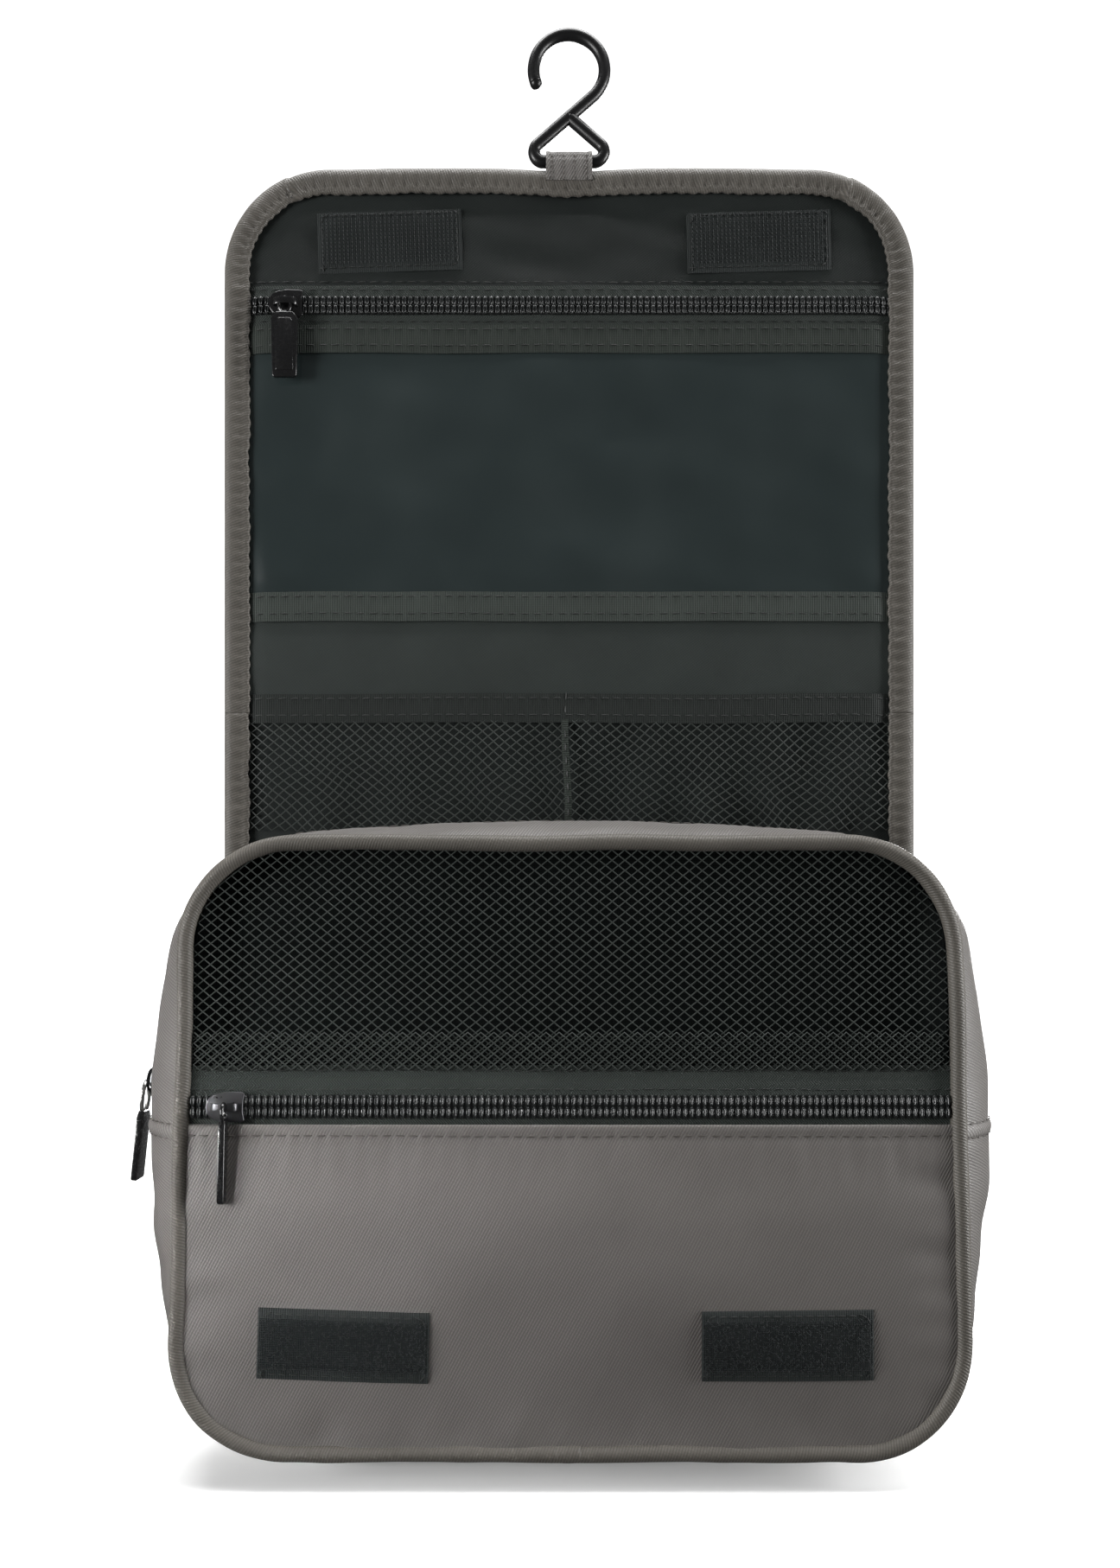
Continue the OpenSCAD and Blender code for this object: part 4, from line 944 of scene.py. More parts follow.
# The dividers stand behind the net and the lower panel; the upper one comes forward at its sides.
for name, top, foot, corners, rider, nodeName, material in (
        # The upper divider takes the darkened lining copy: painted shade behind the net.
        ("dividerUpper", inner["top"], 72.0, (inner["corner"], 0), "front_top", "divider_upper", liningPaintedShade),
        ("dividerLower", 72.8, inner["foot"], (0, inner["corner"]), "body", "divider_lower", liningCloth)):
    drops, widths = frontRows(top, foot, inner["half"] - 0.6, *corners, 4.0)
    x = widths[:, None] * np.linspace(-1, 1, 70)[None]
    dd = np.repeat(drops[:, None], 70, 1)
    nn = -6.5 + 0.5 * ripple(x, dd, 50, 95) + 5.2 * smoothStep(111, 118, np.abs(x)) * (dd < 73)
    piece = gridMesh(name, onFront(x, dd, nn), np.stack([x, -dd], -1), material, frontNormal, 0.45)
    fit(piece, rider, [nodeName])
    cutCloth(piece, 0.2352, (foot - top) * mm, "stretched", ["frontPiping"])


def frontStrip(name, drop, height, n, material, thickness, seed, half=117.6, rows=7):
    # A strip across the leaning front, n off its plane.
    x, t = np.meshgrid(np.linspace(-half, half, 220), np.linspace(-0.5, 0.5, rows), indexing="ij")
    d = drop + t * height + 0.2 * ripple(x, 0 * x, 70, seed)
    out = n + 0.12 * ripple(x, d, 26, seed + 3)
    return gridMesh(name, onFront(x, d, out), np.stack([x, -t * height], -1), material, frontNormal, thickness)


fit(frontStrip("frontTapeTop", 77.6, 12.0, 0.35, tapeCloth, 0.5, 101), "body", ["front_zip_tape_top"])
fit(frontStrip("frontTapeBottom", 89.2, 9.6, 0.05, tapeCloth, 0.5, 102), "body",
    ["front_zip_tape_bottom"])

# The gusset: a skin round the outline that swells between its pipings.
halfTop = body["half"] - body["corner"]
quarter = body["corner"] * math.pi / 2
sideRun = body["height"] - 2 * body["corner"]
halfRim = 2 * halfTop + 2 * quarter + sideRun
gusset = {"zipDepth": -22.5, "band": 6.5, "back": -5.25, "sideSwell": 17.0, "topSwell": 6.5, "bottomSwell": 8.0,
          "seamDrop": 93.8,
          "seamWidth": 4.2}


def rim(s):
    # Outline points at runs s from the middle of the top: x, z and the outward direction.
    s = np.asarray(s, float)
    t = np.where(s > halfRim, s - 2 * halfRim, s)
    m, a = np.where(t < 0, -1.0, 1.0), np.abs(t)
    r, top, low = body["corner"], body["top"], body["top"] - body["height"]
    first = np.clip((a - halfTop) / r, 0, math.pi / 2)
    second = np.clip((a - halfTop - quarter - sideRun) / r, 0, math.pi / 2)
    down = np.clip(a - halfTop - quarter, 0, sideRun)
    onTop, onEnd = a < halfTop, a > halfTop + 2 * quarter + sideRun
    nx, nz = np.sin(first) * np.cos(second), np.cos(first) - np.sin(second)
    x = np.where(onTop, a, halfTop + r * np.where(second > 0, np.cos(second), np.sin(first)))
    z = np.where(onTop, top, np.where(second > 0, low + r - r * np.sin(second), top - r + r * np.cos(first) - down))
    x = np.where(onEnd, halfRim - a, x)
    nx = np.where(onEnd, 0.0, np.where(second > 0, np.cos(second), np.sin(first)))
    nz = np.where(onEnd, -1.0, np.where(second > 0, -np.sin(second), np.cos(first)))
    nz = np.where((a >= halfTop + quarter) & (a <= halfTop + quarter + sideRun), 0.0, nz)
    z = np.where(onEnd, low, z)
    return m * x, z, m * nx, nz


def frontEdge(z):
    return -body["depthTop"] - (body["depthBottom"] - body["depthTop"]) * (body["top"] - z) / body["height"] + 2.0


def skin(s, y, off):
    # The gusset's skin at runs s and depths y, off millimetres outside the outline.
    x, z, nx, nz = rim(s)
    start = frontEdge(z)
    side = gusset["sideSwell"] * np.clip(np.sin(np.pi * (body["top"] - z) / body["height"]), 0, 1) ** 0.8
    ends = np.where(nz > 0, gusset["topSwell"],
                    gusset["bottomSwell"]) * np.clip(np.cos(np.pi / 2 * x / body["half"]), 0, 1)
    share = np.minimum((y - start) / (gusset["zipDepth"] - gusset["band"] - start),
                       (gusset["back"] - y) / (gusset["back"] - gusset["zipDepth"] - gusset["band"]))
    grow = off + (nx ** 2 * side + nz ** 2 * ends) * np.sin(np.pi / 2 * np.clip(share, 0, 1)) ** 0.8
    return np.stack([x + nx * grow, y + 0 * x, z + nz * grow], -1)


def outward(points):
    return np.stack([points[:, 0], 0 * points[:, 0], points[:, 2] - body["mid"]], 1)


def skinPatch(name, run, depths, off, material, thickness, step=2.2, rows=14, uvTurn=False):
    # depths gives the front and back depth at each height; off is a function of run and the share across.
    s = np.linspace(run[0], run[1], max(3, int((run[1] - run[0]) / step)))
    t = np.linspace(0, 1, rows)
    ss, tt = np.meshgrid(s, t, indexing="ij")
    z = rim(ss)[1]
    y0, y1 = depths
    y0 = y0(z) if callable(y0) else y0 + 0 * z
    y1 = y1(z) if callable(y1) else y1 + 0 * z
    y = y0 + (y1 - y0) * tt
    points = skin(ss, y, off(ss, tt) if callable(off) else off)
    uv = np.stack([y, ss], -1) if uvTurn else np.stack([ss, y], -1)
    return gridMesh(name, points, uv, material, outward, thickness)


def runAt(z):
    return halfTop + quarter + (body["top"] - body["corner"] - z)


seamRun, mouthRun = runAt(body["top"] - gusset["seamDrop"]), runAt(mouthZ)


def looseSkin(seed, size=0.5):
    # How far a gusset strip stands off the outline: slack in the middle, small pleats by its seams.
    def off(s, t):
        slack = size * ripple(s, t * 40, 27, seed) * np.sin(math.pi * np.clip(t, 0, 1))
        pleats = 0.35 * ripple(s, t * 6, 13, seed + 1) * (bump(t, 0.06, 0.1) + bump(t, 0.94, 0.08))
        return -1 + slack + pleats
    return off


def bandHump(start):
    # The bound seam at a side: a low round ridge that starts at this run.
    return lambda s, t: -0.95 + 0.75 * np.sin(math.pi * np.clip((s - start) / gusset["seamWidth"], 0, 1)) ** 0.5


print("gusset")
zipFront, zipBack = gusset["zipDepth"] - 4.9, gusset["zipDepth"] + 4.9
mouthStretch, seamStretch = (-mouthRun, mouthRun), (-seamRun, seamRun)
lowStretch = (seamRun, 2 * halfRim - seamRun)
endStretches = ((-seamRun, -mouthRun), (mouthRun, seamRun))
wholeDepth, stripDepth = (frontEdge, gusset["back"]), (frontEdge, zipFront)
tapeDepths = [(gusset["zipDepth"] - 7.2, gusset["zipDepth"] - 0.35),
              (gusset["zipDepth"] + 0.35, gusset["zipDepth"] + 7.2)]
seamHeld = ("stretched", ["frontPiping", "backPiping"])
piece = skinPatch("gussetFrontStrip", mouthStretch, stripDepth, looseSkin(111, 0.4), shellCloth, 0.9)
fit(piece, "front_top", ["gusset_front_strip"])
cutCloth(piece, 2 * mouthRun * mm, 0.034, *seamHeld)
piece = skinPatch("gussetBackStrip", seamStretch, (zipBack, gusset["back"]), looseSkin(113, 0.3), shellCloth, 0.9,
                  rows=8)
fit(piece, "body", ["gusset_back_strip"])
cutCloth(piece, 2 * seamRun * mm, 0.019, *seamHeld)
piece = skinPatch("gussetTapeFront", mouthStretch, tapeDepths[0], -2.1, tapeCloth, 0.4, rows=5)
fit(piece, "front_top", ["gusset_zip_tape_front"])
piece = skinPatch("gussetTapeBack", seamStretch, tapeDepths[1], -2.1, tapeCloth, 0.4, rows=5)
fit(piece, "body", ["gusset_zip_tape_back"])
piece = skinPatch("gussetLower", lowStretch, wholeDepth, looseSkin(117, 0.75), shellCloth, 0.9, rows=22)
fit(piece, "body", ["gusset_lower"])
cutCloth(piece, 2 * (halfRim - seamRun) * mm, 0.074, *seamHeld)
piece = skinPatch("gussetLining", lowStretch, wholeDepth, -2.6, liningCloth, 0.4, step=5, rows=12)
fit(piece, "body", ["gusset_lining_lower"])
cutCloth(piece, 2 * (halfRim - seamRun) * mm, 0.074, *seamHeld)
endStrips = [skinPatch("endStrip", run, stripDepth, looseSkin(111, 0.4), shellCloth, 0.9) for run in endStretches]
endTapes = [skinPatch("endTape", run, tapeDepths[0], -2.1, tapeCloth, 0.4, rows=5) for run in endStretches]
fit(join("gussetFrontEnds", endStrips), "body", ["gusset_front_ends"])
fit(join("gussetTapeEnds", endTapes), "body", ["gusset_zip_front_ends"])
bands = [skinPatch("band", (low, low + gusset["seamWidth"]), wholeDepth, bandHump(low), shellCloth, 0.5, step=0.45,
                   rows=22, uvTurn=True)
         for low in (-seamRun - 1.2, seamRun - 3.0)]
fit(join("sideSeamBands", bands), "body", ["side_seam_bands"])

backLoop = loopPath(118.2, 1.8, 188.2, 33.2, 2.6, lambda x, d: np.stack([x, -3.5 + 0 * x, body["top"] - d], 1))
backPiping = sweep("backPiping", backLoop, -yPlus, circleProfile(1.85, 14), bindCloth, closedPath=True)
fit(backPiping, "body", ["back_piping"])

print("hook and loop tapes")
patch = {"flapZ": -71.1, "flapX": (-62.3, 66.0), "flapTurn": (1.8, 1.4),
         "frontDrop": 155.0, "frontX": (-68.5, 65.4), "frontTurn": (-1.4, 0.2)}


def patchSheet(name, cx, cz, turn, onto, thickness, material, facing, half=(25.0, 10.5), lift=0.0):
    # A tape patch: thinner at its cut edges, drawn in where it is sewn.
    x, t = np.meshgrid(np.linspace(-half[0], half[0], 60), np.linspace(-half[1], half[1], 26), indexing="ij")
    u, v = turned(x, t, turn, cx, cz)
    edge = np.minimum(half[0] - np.abs(x), half[1] - np.abs(t))
    out = lift + thickness * (0.35 + 0.65 * smoothStep(0, 1.3, edge)) - 0.22 * bump(edge, 1.7,
            0.5) + 0.12 * ripple(x, t, 19, int(cx + 500))
    return gridMesh(name, onto(u, v, out), np.stack([x, t], -1), material, facing, thickness * 0.9)


def flapPlace(x, z, out):
    return np.stack([x, flap["face"] - out + 0 * x, z], -1)


def frontPlaceAt(x, z, out):
    return onFront(x, -z, panelOut(x, -z) + out)


hookParts, loopParts = [], []
for k in (0, 1):
    cx, turn = patch["flapX"][k], patch["flapTurn"][k]
    base = patchSheet("hookTape", cx, patch["flapZ"], turn, flapPlace, 0.9, selvageCloth, (0, -1, 0), lift=0.2)
    gx, gz = np.meshgrid(np.linspace(-23.2, 23.2, 33), np.linspace(-7.4, 8.9, 13))
    u, v = turned(gx, gz, turn, cx, patch["flapZ"])
    # Each tiny hook is a bent thread: up, over and down.
    bent = np.array([(0, -0.9, 0.35), (0, -1.75, 0.3), (0.1, -2.15, -0.05), (0.15, -1.8, -0.4)]) + (0, flap["face"],
            0)
    rows = [bent + (a, 0, b) for a, b in zip(u.ravel(), v.ravel())]
    hooks = grow(pathMesh("hooks", rows), netting, {"Thread": 0.13 * mm, "Sides": 3, "Material": hairNylon})
    hookParts += [base, hooks]
    cx, turn = patch["frontX"][k], patch["frontTurn"][k]
    base = patchSheet("loopTape", cx, -patch["frontDrop"], turn, frontPlaceAt, 0.8, selvageCloth, frontNormal,
                      half=(26.0, 10.6), lift=0.1)
    fluffy = patchSheet("loopPile", cx, -patch["frontDrop"], turn, frontPlaceAt, 0.5, pileCloth, frontNormal,
                        half=(25.2, 7.6), lift=0.85)
    fluffy = grow(fluffy, pile, {"Density": 1.5e6, "Length": 1.0 * mm, "Hair": 0.055 * mm, "Lean": 0.9,
                                 "Seed": 5 + k, "Material": hairNylon})
    loopParts += [base, fluffy]
fit(join("hookTapes", hookParts), "flap_upper", ["flap_hook_tapes"])
fit(join("loopTapes", loopParts), "body", ["front_loop_tapes"])

print("zips")
zipParts = {"flapPitch": 2.15, "frontPitch": 2.0, "gussetPitch": 2.3, "flapZ": -93.9}


def coilRows(name, rows, across, pitch, length):
    # Rows of teeth that lie across their paths, along the direction across.
    paths = pathMesh(name, rows, [np.repeat([across], len(row), 0) for row in rows])
    return grow(paths, teeth, {"Pitch": pitch * mm, "Tooth Length": length * mm, "Tooth Width": pitch * 0.42 * mm,
                               "Wire": 0.42 * mm, "Bow": 0.35 * mm, "Material": coilNylon})


def teethLift(x):
    return 0.4 + 1.35 * smoothStep(-1, 6, 112.0 - np.abs(x))


x = np.linspace(-111.0, 111.0, 120)
rows = [np.stack([x, flap["face"] - teethLift(x), zipParts["flapZ"] + s * 1.5 + 0 * x], 1) for s in (-1, 1)]
flapCoil = [coilRows("flapCoil", rows, (0.0, 0.0, 1.0), zipParts["flapPitch"], 2.7),
            faceStrip("flapCoilCore", zipParts["flapZ"], 6.2, 1.45, coilNylon, 0.5, seed=31, wave=0.0, rows=5)]
fit(join("flapCoil", flapCoil), "flap_upper", ["flap_zip_coils", "flap_zip_stops"])

x = np.linspace(-116.0, 116.0, 120)
rows = [onFront(x, body["zipDrop"] + s * 1.72 + 0 * x, 1.1 + 0 * x) for s in (-1, 1)]
frontCoil = [coilRows("frontCoil", rows, frontUp, zipParts["frontPitch"], 3.1),
             frontStrip("frontCoilCore", body["zipDrop"], 7.0, 0.7, coilNylon, 0.5, 101, half=116.5, rows=5)]
fit(join("frontCoil", frontCoil), "body", ["front_zip_coils", "front_zip_stops"])


def gussetTeeth(name, stretches, y, rider, nodes):
    rows = []
    for run in stretches:
        s = np.linspace(*run, 260)
        rows.append(skin(s, y + 0 * s, -1.45))
    piece = coilRows(name, rows, (0.0, 1.0, 0.0), zipParts["gussetPitch"], 3.3)
    cores = [skinPatch("core", run, (y - 1.7, y + 1.7), -1.75, coilNylon, 0.4, rows=3) for run in stretches]
    fit(join(name, [piece] + cores), rider, nodes)


gussetTeeth("gussetCoilFront", [mouthStretch], gusset["zipDepth"] - 1.75, "front_top", ["gusset_zip_coil_front"])
gussetTeeth("gussetCoilEnds", endStretches, gusset["zipDepth"] - 1.75, "body", [])
gussetTeeth("gussetCoilBack", [seamStretch], gusset["zipDepth"] + 1.75, "body", ["gusset_zip_coil_back"])


def tearPlate(length, width, nose):
    # The plan of a slider: a round nose at the left that runs back to square shoulders.
    end, half = length / 2, width / 2
    round = [(-end + nose + nose * math.cos(a),
              half * 0.92 * math.sin(a)) for a in np.radians(np.linspace(90, 270, 15))]
    side = [(length * 0.05, half), (end - 0.8, half * 0.96), (end, half * 0.86), (end - 0.5, width * 0.2)]
    return round + [(x, -z) for x, z in side] + side[::-1]


def rectAt(x0, x1, z0, z1):
    return [(x0, z0), (x1, z0), (x1, z1), (x0, z1)]


def bridge(name, material, spot, reach, low, high, wide, thick):
    # The arch over the top plate that holds the pull.
    a = np.linspace(0, math.pi, 13)
    x = -reach * np.cos(a)
    y = -(low + (high - low) * np.sin(a) ** 0.55)
    path = np.stack([x, y, 0 * x], 1)
    quarterTurn = [(1, 0.75), (0.75, 1), (-0.75, 1), (-1, 0.75)]
    prof = np.array([(thick / 2 * c, wide / 2 * d) for c, d in quarterTurn + [(-c, -d) for c, d in quarterTurn]])
    return moveTo(sweep(name, path, (0, 0, 1), prof, material), spot)


def sliderParts(spot, material, low=-1.0, high=1.65):
    # A slider: two plates joined by a post, flanges that turn down past the coil, and the bridge on top.
    parts = [plate("sliderFoot", tearPlate(11.6, 9.0, 4.2), (-low, -low + 0.7), material, 0.22, spot),
             plate("sliderTop", tearPlate(12.0, 9.4, 4.4), (-high - 0.8, -high), material, 0.32, spot, 3),
             plate("sliderPost", rectAt(-5.0, -2.8, -0.4, 0.4), (-high - 0.1, -low), material, 0.0, spot),
             bridge("sliderBridge", material, spot, 3.9, high + 0.4, high + 3.0, 2.3, 0.75)]
    for z0, z1 in ((-4.6, -4.0), (4.0, 4.6)):
        parts.append(plate("flange", rectAt(-0.8, 5.0, z0, z1), (-high - 0.1, -high + 0.8), material, 0.15, spot))
    return parts


def taperTab(wide, foot, length):
    # A pull's outline, from its narrow neck down to rounded corners at its foot.
    r = 0.9
    corner = [(foot / 2 - r + r * math.cos(a), -length + r - r * math.sin(a)) for a in np.radians((0, 30, 60, 90))]
    right = [(wide / 2 * 0.62, 0.0), (wide / 2, -2.2)] + corner
    left = [(-x, z) for x, z in right]
    return left[:1] + right + left[:0:-1]


def flapSpot(p):
    return np.asarray(p, float) + np.array([-97.9, flap["face"] - 1.2, zipParts["flapZ"]])


flapSlider = join("flapSlider", sliderParts(flapSpot, blackEnamel))
eyeY = -(1.65 + 0.7 + 1.7)


def pullParts(spot, wide, foot, length, thick, material):
    # A flat pull with a raised face, and the eye that holds it to the bridge.
    neck = -4.0
    tab = taperTab(wide, foot, length)
    outline = [(x, z + neck) for x, z in tab]
    inset = [(x * 0.72, (z + length / 2) * 0.80 - length / 2 + neck) for x, z in tab]
    path = np.array([(math.sin(a) * 2.0, 0.0, -1.5 + 2.6 * math.cos(a)) for a in np.linspace(0, 2 * math.pi,
            29)[:-1]])
    return [plate("pullTab", outline, (eyeY - thick / 2, eyeY + thick / 2), material, 0.4, spot, 3),
            plate("pullFace", inset, (eyeY - thick / 2 - 0.18, eyeY), material, 0.15, spot),
            moveTo(sweep("pullEye", path, yPlus, circleProfile(0.62, 8), material, closedPath=True), spot,
                   (0, eyeY, 0))]


flapPull = join("flapPull", pullParts(flapSpot, 9.3, 8.4, 22.5, 1.7, blackEnamel))


def frontSpot(p):
    p = np.asarray(p, float)
    up = (body["height"] / 2 - body["zipDrop"]) / leanCos
    x, n, v = p[:, 0] - 105.85, -p[:, 1], p[:, 2] + up
    return np.stack([x, -body["midDepth"] - n * leanCos + v * leanSin, body["mid"] + n * leanSin + v * leanCos], 1)


frontSlider = join("frontSlider", sliderParts(frontSpot, gunmetal))


def edgeOn(p):
    # Turns the pull a quarter about its length, so that it hangs edge forward.
    p = np.asarray(p, float)
    x, y, z = p[:, 0], p[:, 1] - eyeY, p[:, 2]
    return frontSpot(np.stack([y, eyeY + 0.15 - x, z], 1))


frontPull = join("frontPull", pullParts(edgeOn, 4.6, 4.2, 25.0, 2.1, blackEnamel))

sliderRun = -runAt(body["top"] - 80.0)
chordLow, chordHigh = skin(np.array([sliderRun, sliderRun + 25.0]), np.full(2, gusset["zipDepth"]), -2.2)
chordUp = chordHigh - chordLow
chordUp /= np.linalg.norm(chordUp)
chordOut = np.cross(yPlus, chordUp)
chordOut = chordOut if chordOut[0] < 0 else -chordOut


def sideSpot(p):
    # Slider space at the side: X runs up the zip, -Y outwards and Z towards the back.
    p = np.asarray(p, float)
    return chordLow + p[:, :1] * chordUp - p[:, 1:2] * chordOut + p[:, 2:3] * yPlus


gussetSlider = join("gussetSlider", sliderParts(sideSpot, blackEnamel, -1.6, 2.2))


def sidePull():
    # A wire ring through the bridge and a flat tab that hangs from it down the side.
    out = 5.6
    ringPath = np.array([(-6.2 + 5.4 * math.cos(a), 0.0, 3.3 * math.sin(a)) for a in np.linspace(0, 2 * math.pi,
            33)[:-1]])
    ring = sweep("sideRing", ringPath, yPlus, circleProfile(0.75, 8), paleMetal, closedPath=True)
    tab = [(z - 10.2, x) for x, z in taperTab(9.0, 8.4, 23.0)]
    flat = plate("sideTab", tab, (-out - 0.95, -out + 0.95), blackEnamel, 0.35, sideSpot, 3)
    return join("gussetPull", [flat, moveTo(ring, sideSpot, (0, -out, 0))])


gussetPull = sidePull()
for piece, rider, slot in ((flapSlider, "flap_zip_slider", "black_enamel"),
                           (flapPull, "flap_zip_pull", "black_enamel"), (frontSlider, "front_zip_slider", "gunmetal"),
                           (frontPull, "front_zip_pull", "black_enamel"),
                           (gussetSlider, "gusset_zip_slider", "gunmetal"),
                           (gussetPull, "gusset_zip_pull", "black_enamel")):
    tidyNormals(piece)
    piece.data.set_sharp_from_angle(angle=math.radians(45))
    fit(piece, rider, [rider])

print("hook")
hook = {"wire": 2.1, "bow": 12.4, "bowZ": -10.3, "barZ": -42.3, "baseHalf": 12.2, "corner": 3.4, "tip": 201.0}


def hookShape():
    # One wire: the bow, the straight neck that leaves it at a tangent, and the base round to where it meets the neck.
    left = np.array([-hook["baseHalf"] + hook["corner"], hook["barZ"] + hook["corner"]])
    reach = np.array([0, hook["bowZ"]]) - left
    lean = math.degrees(math.atan2(reach[1],
                                   reach[0])) - math.degrees(math.asin((hook["bow"] + hook["corner"])
                                           / np.linalg.norm(reach)))
    r = math.radians(lean)
    leave = np.array([hook["bow"] * math.sin(r), hook["bowZ"] - hook["bow"] * math.cos(r)])
    neckEnd = left + hook["corner"] * np.array([-math.sin(r), math.cos(r)])
    crossing = (0, 0, neckEnd[1] - neckEnd[0] * math.tan(r))
    main = chain(arc(0, hook["bowZ"], hook["bow"], hook["tip"], lean - 90, 70),
                 line((leave[0], 0, leave[1]), (neckEnd[0], 0, neckEnd[1]), 0.7),
                 arc(left[0], left[1], hook["corner"], lean + 90, 270, 18),
                 line((left[0], 0, hook["barZ"]), (-left[0], 0, hook["barZ"]), 0.8),
                 arc(-left[0], left[1], hook["corner"], -90, 90 - lean, 18),
                 line((-neckEnd[0], 0, neckEnd[1]), crossing, 0.7))
    ball = bmesh.new()
    bmesh.ops.create_uvsphere(ball, u_segments=20, v_segments=12, radius=hook["wire"] * mm)
    bmesh.ops.translate(ball, verts=ball.verts, vec=tuple(main[0] * mm))
    mesh = bpy.data.meshes.new("hookTip")
    ball.to_mesh(mesh)
    ball.free()
    mesh.polygons.foreach_set("use_smooth", [True] * len(mesh.polygons))
    mesh.materials.append(hookPlastic)
    wire = sweep("hookMain", main, yPlus, circleProfile(hook["wire"], 20), hookPlastic)
    return join("hangingHook", [wire, place("hookTip", mesh)])


fit(hookShape(), "hook", ["hook"])

print("hanger loop")
hanger = {"half": 8.0, "over": 3.05, "leg": -50.8}


def hangerLoop():
    # A tape folded over the hook's base: down in front of the flap's edge, and down behind it.
    over, leg, bar = hanger["over"], hanger["leg"], hook["barZ"]
    a = np.radians(np.linspace(180, 0, 17))
    bow = list(zip(over * np.cos(a), bar + over * np.sin(a)))
    front = [(-over - (1 - t) ** 0.5, leg + (bar - leg) * t) for t in np.linspace(0, 1, 14)[:-1]]
    path = np.array(front + bow + [(-y + 0.25, z) for y, z in front[::-1]])
    x = np.linspace(-hanger["half"], hanger["half"], 25)
    run = np.concatenate([[0], np.cumsum(np.hypot(*np.diff(path, axis=0).T))])
    roll = 0.18 * bump(np.abs(x), 7.4, 0.7) - 0.14 * bump(np.abs(x), 5.7, 0.5)
    away = path - np.stack([0 * path[:, 0], np.clip(path[:, 1], leg, bar)], 1)
    away = away / (np.hypot(*away.T) + 1e-6)[:, None]
    spread = path[:, None] + roll[None, :, None] * away[:, None]
    points = np.stack([np.repeat(x[None], len(path), 0), spread[..., 0], spread[..., 1]], -1)
    uv = np.stack([points[..., 0], np.repeat(run[:, None], len(x), 1)], -1)
    return gridMesh("hangerLoop", points, uv, shellCloth, lambda m: m * yPlus, 0.7)


fit(hangerLoop(), "flap_upper", ["hanger_loop"])

print("stitches")


def flapRow(xHalf, z, out, seed):
    x = np.linspace(-xHalf, xHalf, 200)
    return np.stack([x, flap["face"] - (0.3 + (out - 0.3) * tucked(x)), z + 0.12 * ripple(x, 0 * x, 45, seed)], 1)


def ribbonRow(z, wobble, seed, out):
    # A row on a ribbon, which follows the ribbon's own slight wave.
    x = np.linspace(-111.5, 111.5, 200)
    return np.stack([x, flap["face"] - (0.42 + out * tucked(x)), z + wobble * ripple(x, 0 * x, 60, seed)], 1)


def frontRow(half, drop, out, seed):
    x = np.linspace(-half, half, 220)
    return onFront(x, drop + 0.12 * ripple(x, 0 * x, 50, seed),
                   out(x, drop + 0 * x) if callable(out) else out + 0 * x)


def sew(name, rows, pitch, length, width, thread, rider, seed=3):
    piece = grow(pathMesh(name, rows), stitches, {"Pitch": pitch * mm, "Length": length * mm, "Width": width * mm,
                                                  "Seed": seed, "Material": thread})
    fit(piece, rider)


def boxRow(half, low, high, degrees, cx, cz):
    # A row of stitches round a patch.
    box = np.array([(-half, low), (half, low), (half, high), (-half, high), (-half, low)])
    points = chain(*[box[i] + (box[i + 1] - box[i]) * np.linspace(0, 1, 40)[:, None] for i in range(4)])
    return turned(points[:, 0], points[:, 1], degrees, cx, cz)


edgeRows, lowRows = [], []
for depth in (binding["frontThread"], binding["backThread"]):
    row = flapEdge(binding["stitch"])
    row[:, 2] -= topSag(row[:, 0]) * (row[:, 2] > flap["top"] - 9)
    row[:, 1] = depth
    edgeRows.append(row)
sew("bindingStitchesUpper", edgeRows, 4.0, 2.9, 0.72, taupeThread, upperJoint)
for s in (-1, 1):
    across = s * (flap["half"] - binding["stitch"])
    for depth in (binding["frontThread"], binding["backThread"]):
        lowRows.append(line((across, depth, flap["split"]), (across, depth, binding["foot"] + 1), 1.0))
sew("bindingStitchesLower", lowRows, 4.0, 2.9, 0.72, taupeThread, lowerJoint)
loopRows = []
for s in (-1, 1):
    for side in (-1, 1):
        z = np.linspace(-50.2, -42.0, 20)
        y = side * (hanger["over"] + 0.15
                    + (0.25 if side > 0 else 0)) + side * np.sqrt(np.clip((hook["barZ"] - z)
                            / (hook["barZ"] - hanger["leg"]), 0, 1))
        for inset in (5.9, 1.9):
            loopRows.append(np.stack([s * inset + 0 * z, y, z], 1))
sew("loopStitches", loopRows, 1.9, 1.5, 0.5, taupeThread, "flap_upper")
darkRows = [flapRow(111.5, -85.4, 0.75, 203), flapRow(110.5, -88.2, 1.28, 204), flapRow(110.5, -99.3, 1.28, 205)]
for centre, seed, high in ((-105.5, 33, 9.8), (-198.3, 34, 10.2)):
    darkRows += [ribbonRow(centre + drop, 0.25, seed, 1.56) for drop in (high / 2 - 1.6, -high / 2 + 2.6)]
sew("flapStitches", darkRows, 4.3, 3.1, 0.5, darkThread, "flap_upper")
coilThread = [flapRow(111.0, zipParts["flapZ"] + side, out, 206) for side,
              out in ((-2.75, 2.1), (2.75, 2.1), (0, 1.95))]
sew("flapCoilThread", coilThread, 1.1, 0.8, 0.45, darkThread, "flap_upper", seed=8)
pocketRows = [ribbonRow(netPocket["top"] + drop, 0.35, 36, 1.7) for drop in (3.4, -2.4)]
seamDown = np.linspace(-229.5, -270.0, 40)
onNet = flap["face"] - pocketOut(-0.9 + 0 * seamDown, seamDown) - 0.75
seamOut = np.where(seamDown > -239, flap["face"] - 2.05, onNet)
pocketRows.append(np.stack([-0.9 + 0.6 * np.sin(seamDown / 9), seamOut, seamDown], 1))
sew("pocketStitches", pocketRows, 4.1, 3.0, 0.5, darkThread, "flap_lower")
hookBorders, loopBorders = [], []
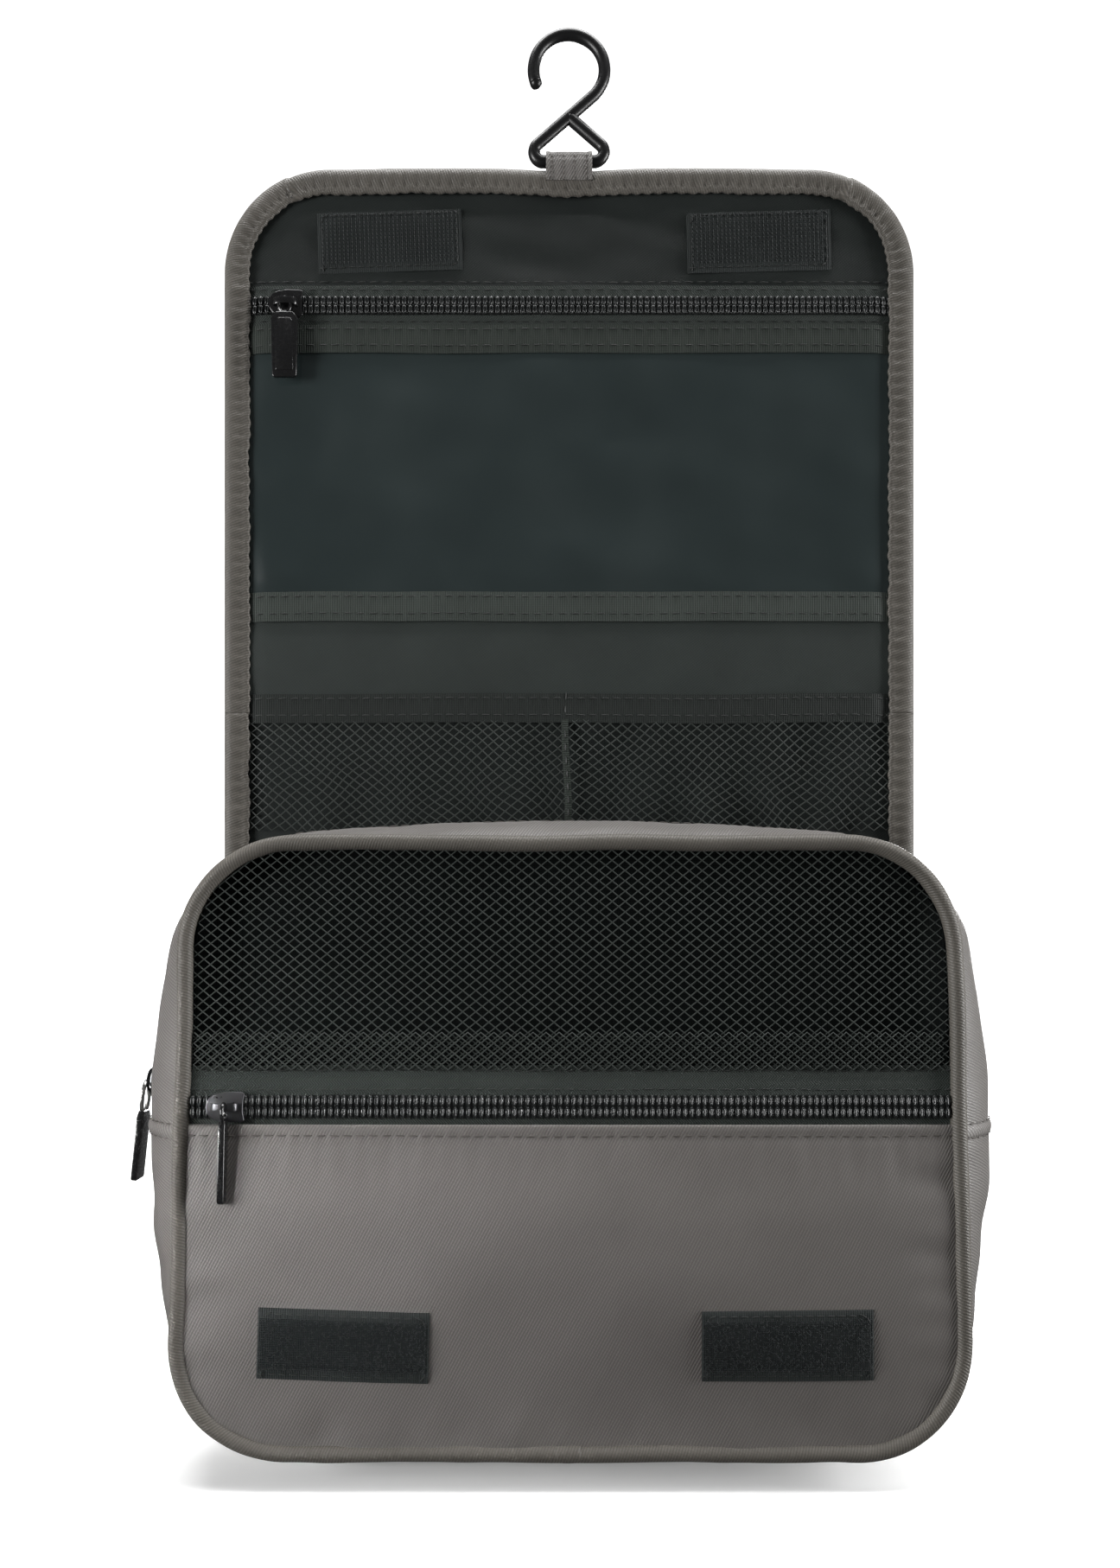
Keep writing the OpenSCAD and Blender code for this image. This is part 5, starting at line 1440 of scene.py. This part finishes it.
for k in (0, 1):
    u, v = boxRow(23.4, -8.9, 9.2, patch["flapTurn"][k], patch["flapX"][k], patch["flapZ"])
    hookBorders.append(flapPlace(u, v, 1.12))
    u, v = boxRow(24.4, -8.9, 8.9, patch["frontTurn"][k], patch["frontX"][k], -patch["frontDrop"])
    loopBorders.append(frontPlaceAt(u, v, 0.92))
sew("hookTapeStitches", hookBorders, 3.2, 2.4, 0.42, darkThread, "flap_upper")
sew("loopTapeStitches", loopBorders, 3.2, 2.4, 0.42, darkThread, "body")
sew("panelStitches", [frontRow(116.5, panel["stitch"], lambda a, d: panelOut(a, d) + 0.05, 211)], 4.0, 3.1, 0.6,
    taupeThread, "body")
sew("frontTapeStitches", [frontRow(116.5, 73.2, 0.5, 212), frontRow(116.5, 78.9, 0.5, 213)], 4.0, 3.0, 0.5,
    darkThread, "body")
y = np.linspace(-50, -6, 90)
sideRows = [skin(s * (seamRun - offset) + 0 * y, y, -0.75) for s in (-1, 1) for offset in (3.4, -1.2)]
sew("sideStitches", sideRows, 3.6, 2.7, 0.5, taupeThread, "body")
sew("gussetStitchesFront", [skin(np.linspace(*mouthStretch, 300), zipFront - 1.5, -0.9)], 3.8, 2.9, 0.5, taupeThread,
    "front_top")
backRun = np.linspace(*seamStretch, 300)
sew("gussetStitchesBack", [skin(backRun, zipBack + 1.5 + 0 * backRun, -0.9)], 3.8, 2.9, 0.5, taupeThread, "body")

print("floor, light and camera")
room = {"floor": -478.6, "key": 18.0, "fill": 19.0, "top": 31.0, "accent": 0.030, "back": 8.0, "world": 0.10,
        "backdrop": 1.05}


def stageFloor():
    # A paper sweep that rises behind the bag and brightens away from it: a painted glow, with emission that is faint
    # by the bag and strong far behind it.
    a = np.linspace(0, math.pi / 2, 14)
    y = np.concatenate([[-3000.0], 1500 + 900 * np.sin(a), [2400.0]])
    z = np.concatenate([[room["floor"]], room["floor"] + 900 - 900 * np.cos(a), [4500.0]])
    x = np.linspace(-5000, 5000, 3)
    points = np.stack([np.repeat(x[None], len(y), 0), np.repeat(y[:, None], 3, 1), np.repeat(z[:, None], 3, 1)], -1)
    material, tree, shader = newMaterial("paper")
    setValues(shader, {"Roughness": 0.9, "Base Color": (0.92, 0.92, 0.92, 1), "Specular IOR Level": 0.1,
                       "Emission Color": (1, 1, 1, 1)})
    away = node(tree, "ShaderNodeSeparateXYZ", {0: node(tree, "ShaderNodeTexCoord").outputs["Object"]}).outputs[1]
    # Painted glow: the emission rises with distance behind the bag.
    link(tree, shader, {"Emission Strength": ramp(tree, away, 0.10, 0.9, 0.17, 1.1)})
    floor = gridMesh("paperSweep", points, points[..., :2] * mm, material, (0, -1, 1))
    floor.visible_diffuse = floor.visible_glossy = False


def softbox(name, at, aim, size, power, spread=180):
    light = bpy.data.lights.new(name, "AREA")
    light.shape = "RECTANGLE"
    light.size, light.size_y = size
    light.energy = power
    light.spread = math.radians(spread)
    lamp = place(name, light)
    lamp.location = at
    lamp.rotation_euler = (Vector(aim) - Vector(at)).to_track_quat("-Z", "Y").to_euler()


stageFloor()
softbox("keyLight", (-1.15, -0.60, -0.25), (0, -0.03, -0.36), (0.45, 0.6), room["key"])
softbox("sideLight", (1.1, -0.22, -0.25), (0, -0.03, -0.35), (0.3, 0.9), room["fill"])
softbox("topLight", (0.0, 0.02, 1.1), (0, 0.02, -0.3), (1.3, 0.7), room["top"])
softbox("panelLight", (-0.62, -0.66, -0.18), (-0.104, -0.06, -0.395), (0.05, 0.05), room["accent"], spread=16)
softbox("backLight", (0.35, 1.2, 0.05), (0, 0, -0.28), (0.9, 0.8), room["back"], spread=70)
world = bpy.data.worlds.new("studio")
world.use_nodes = True
sky = world.node_tree.nodes["Background"]
sky.inputs[0].default_value = (1, 1, 1, 1)
seen = node(world.node_tree, "ShaderNodeLightPath").outputs["Is Camera Ray"]
world.node_tree.links.new(ramp(world.node_tree, seen, 0, 1, room["world"], room["backdrop"]), sky.inputs[1])
bpy.context.scene.world = world
bpy.context.scene.view_settings.view_transform = "Standard"

camera = bpy.data.cameras.new("camera")
camera.sensor_width = 36.0
camera.lens = 28.83
camera.shift_y = 0.0843
camera.clip_start = 0.01
cameraPiece = place("camera", camera)
cameraPiece.location = (-0.00316, -0.4386, -0.3057)
cameraPiece.rotation_euler = (math.radians(90), 0, 0)
bpy.context.scene.camera = cameraPiece

for name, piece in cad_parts.items():
    if not piece.hide_render:
        print("still shown:", name)
print("done")
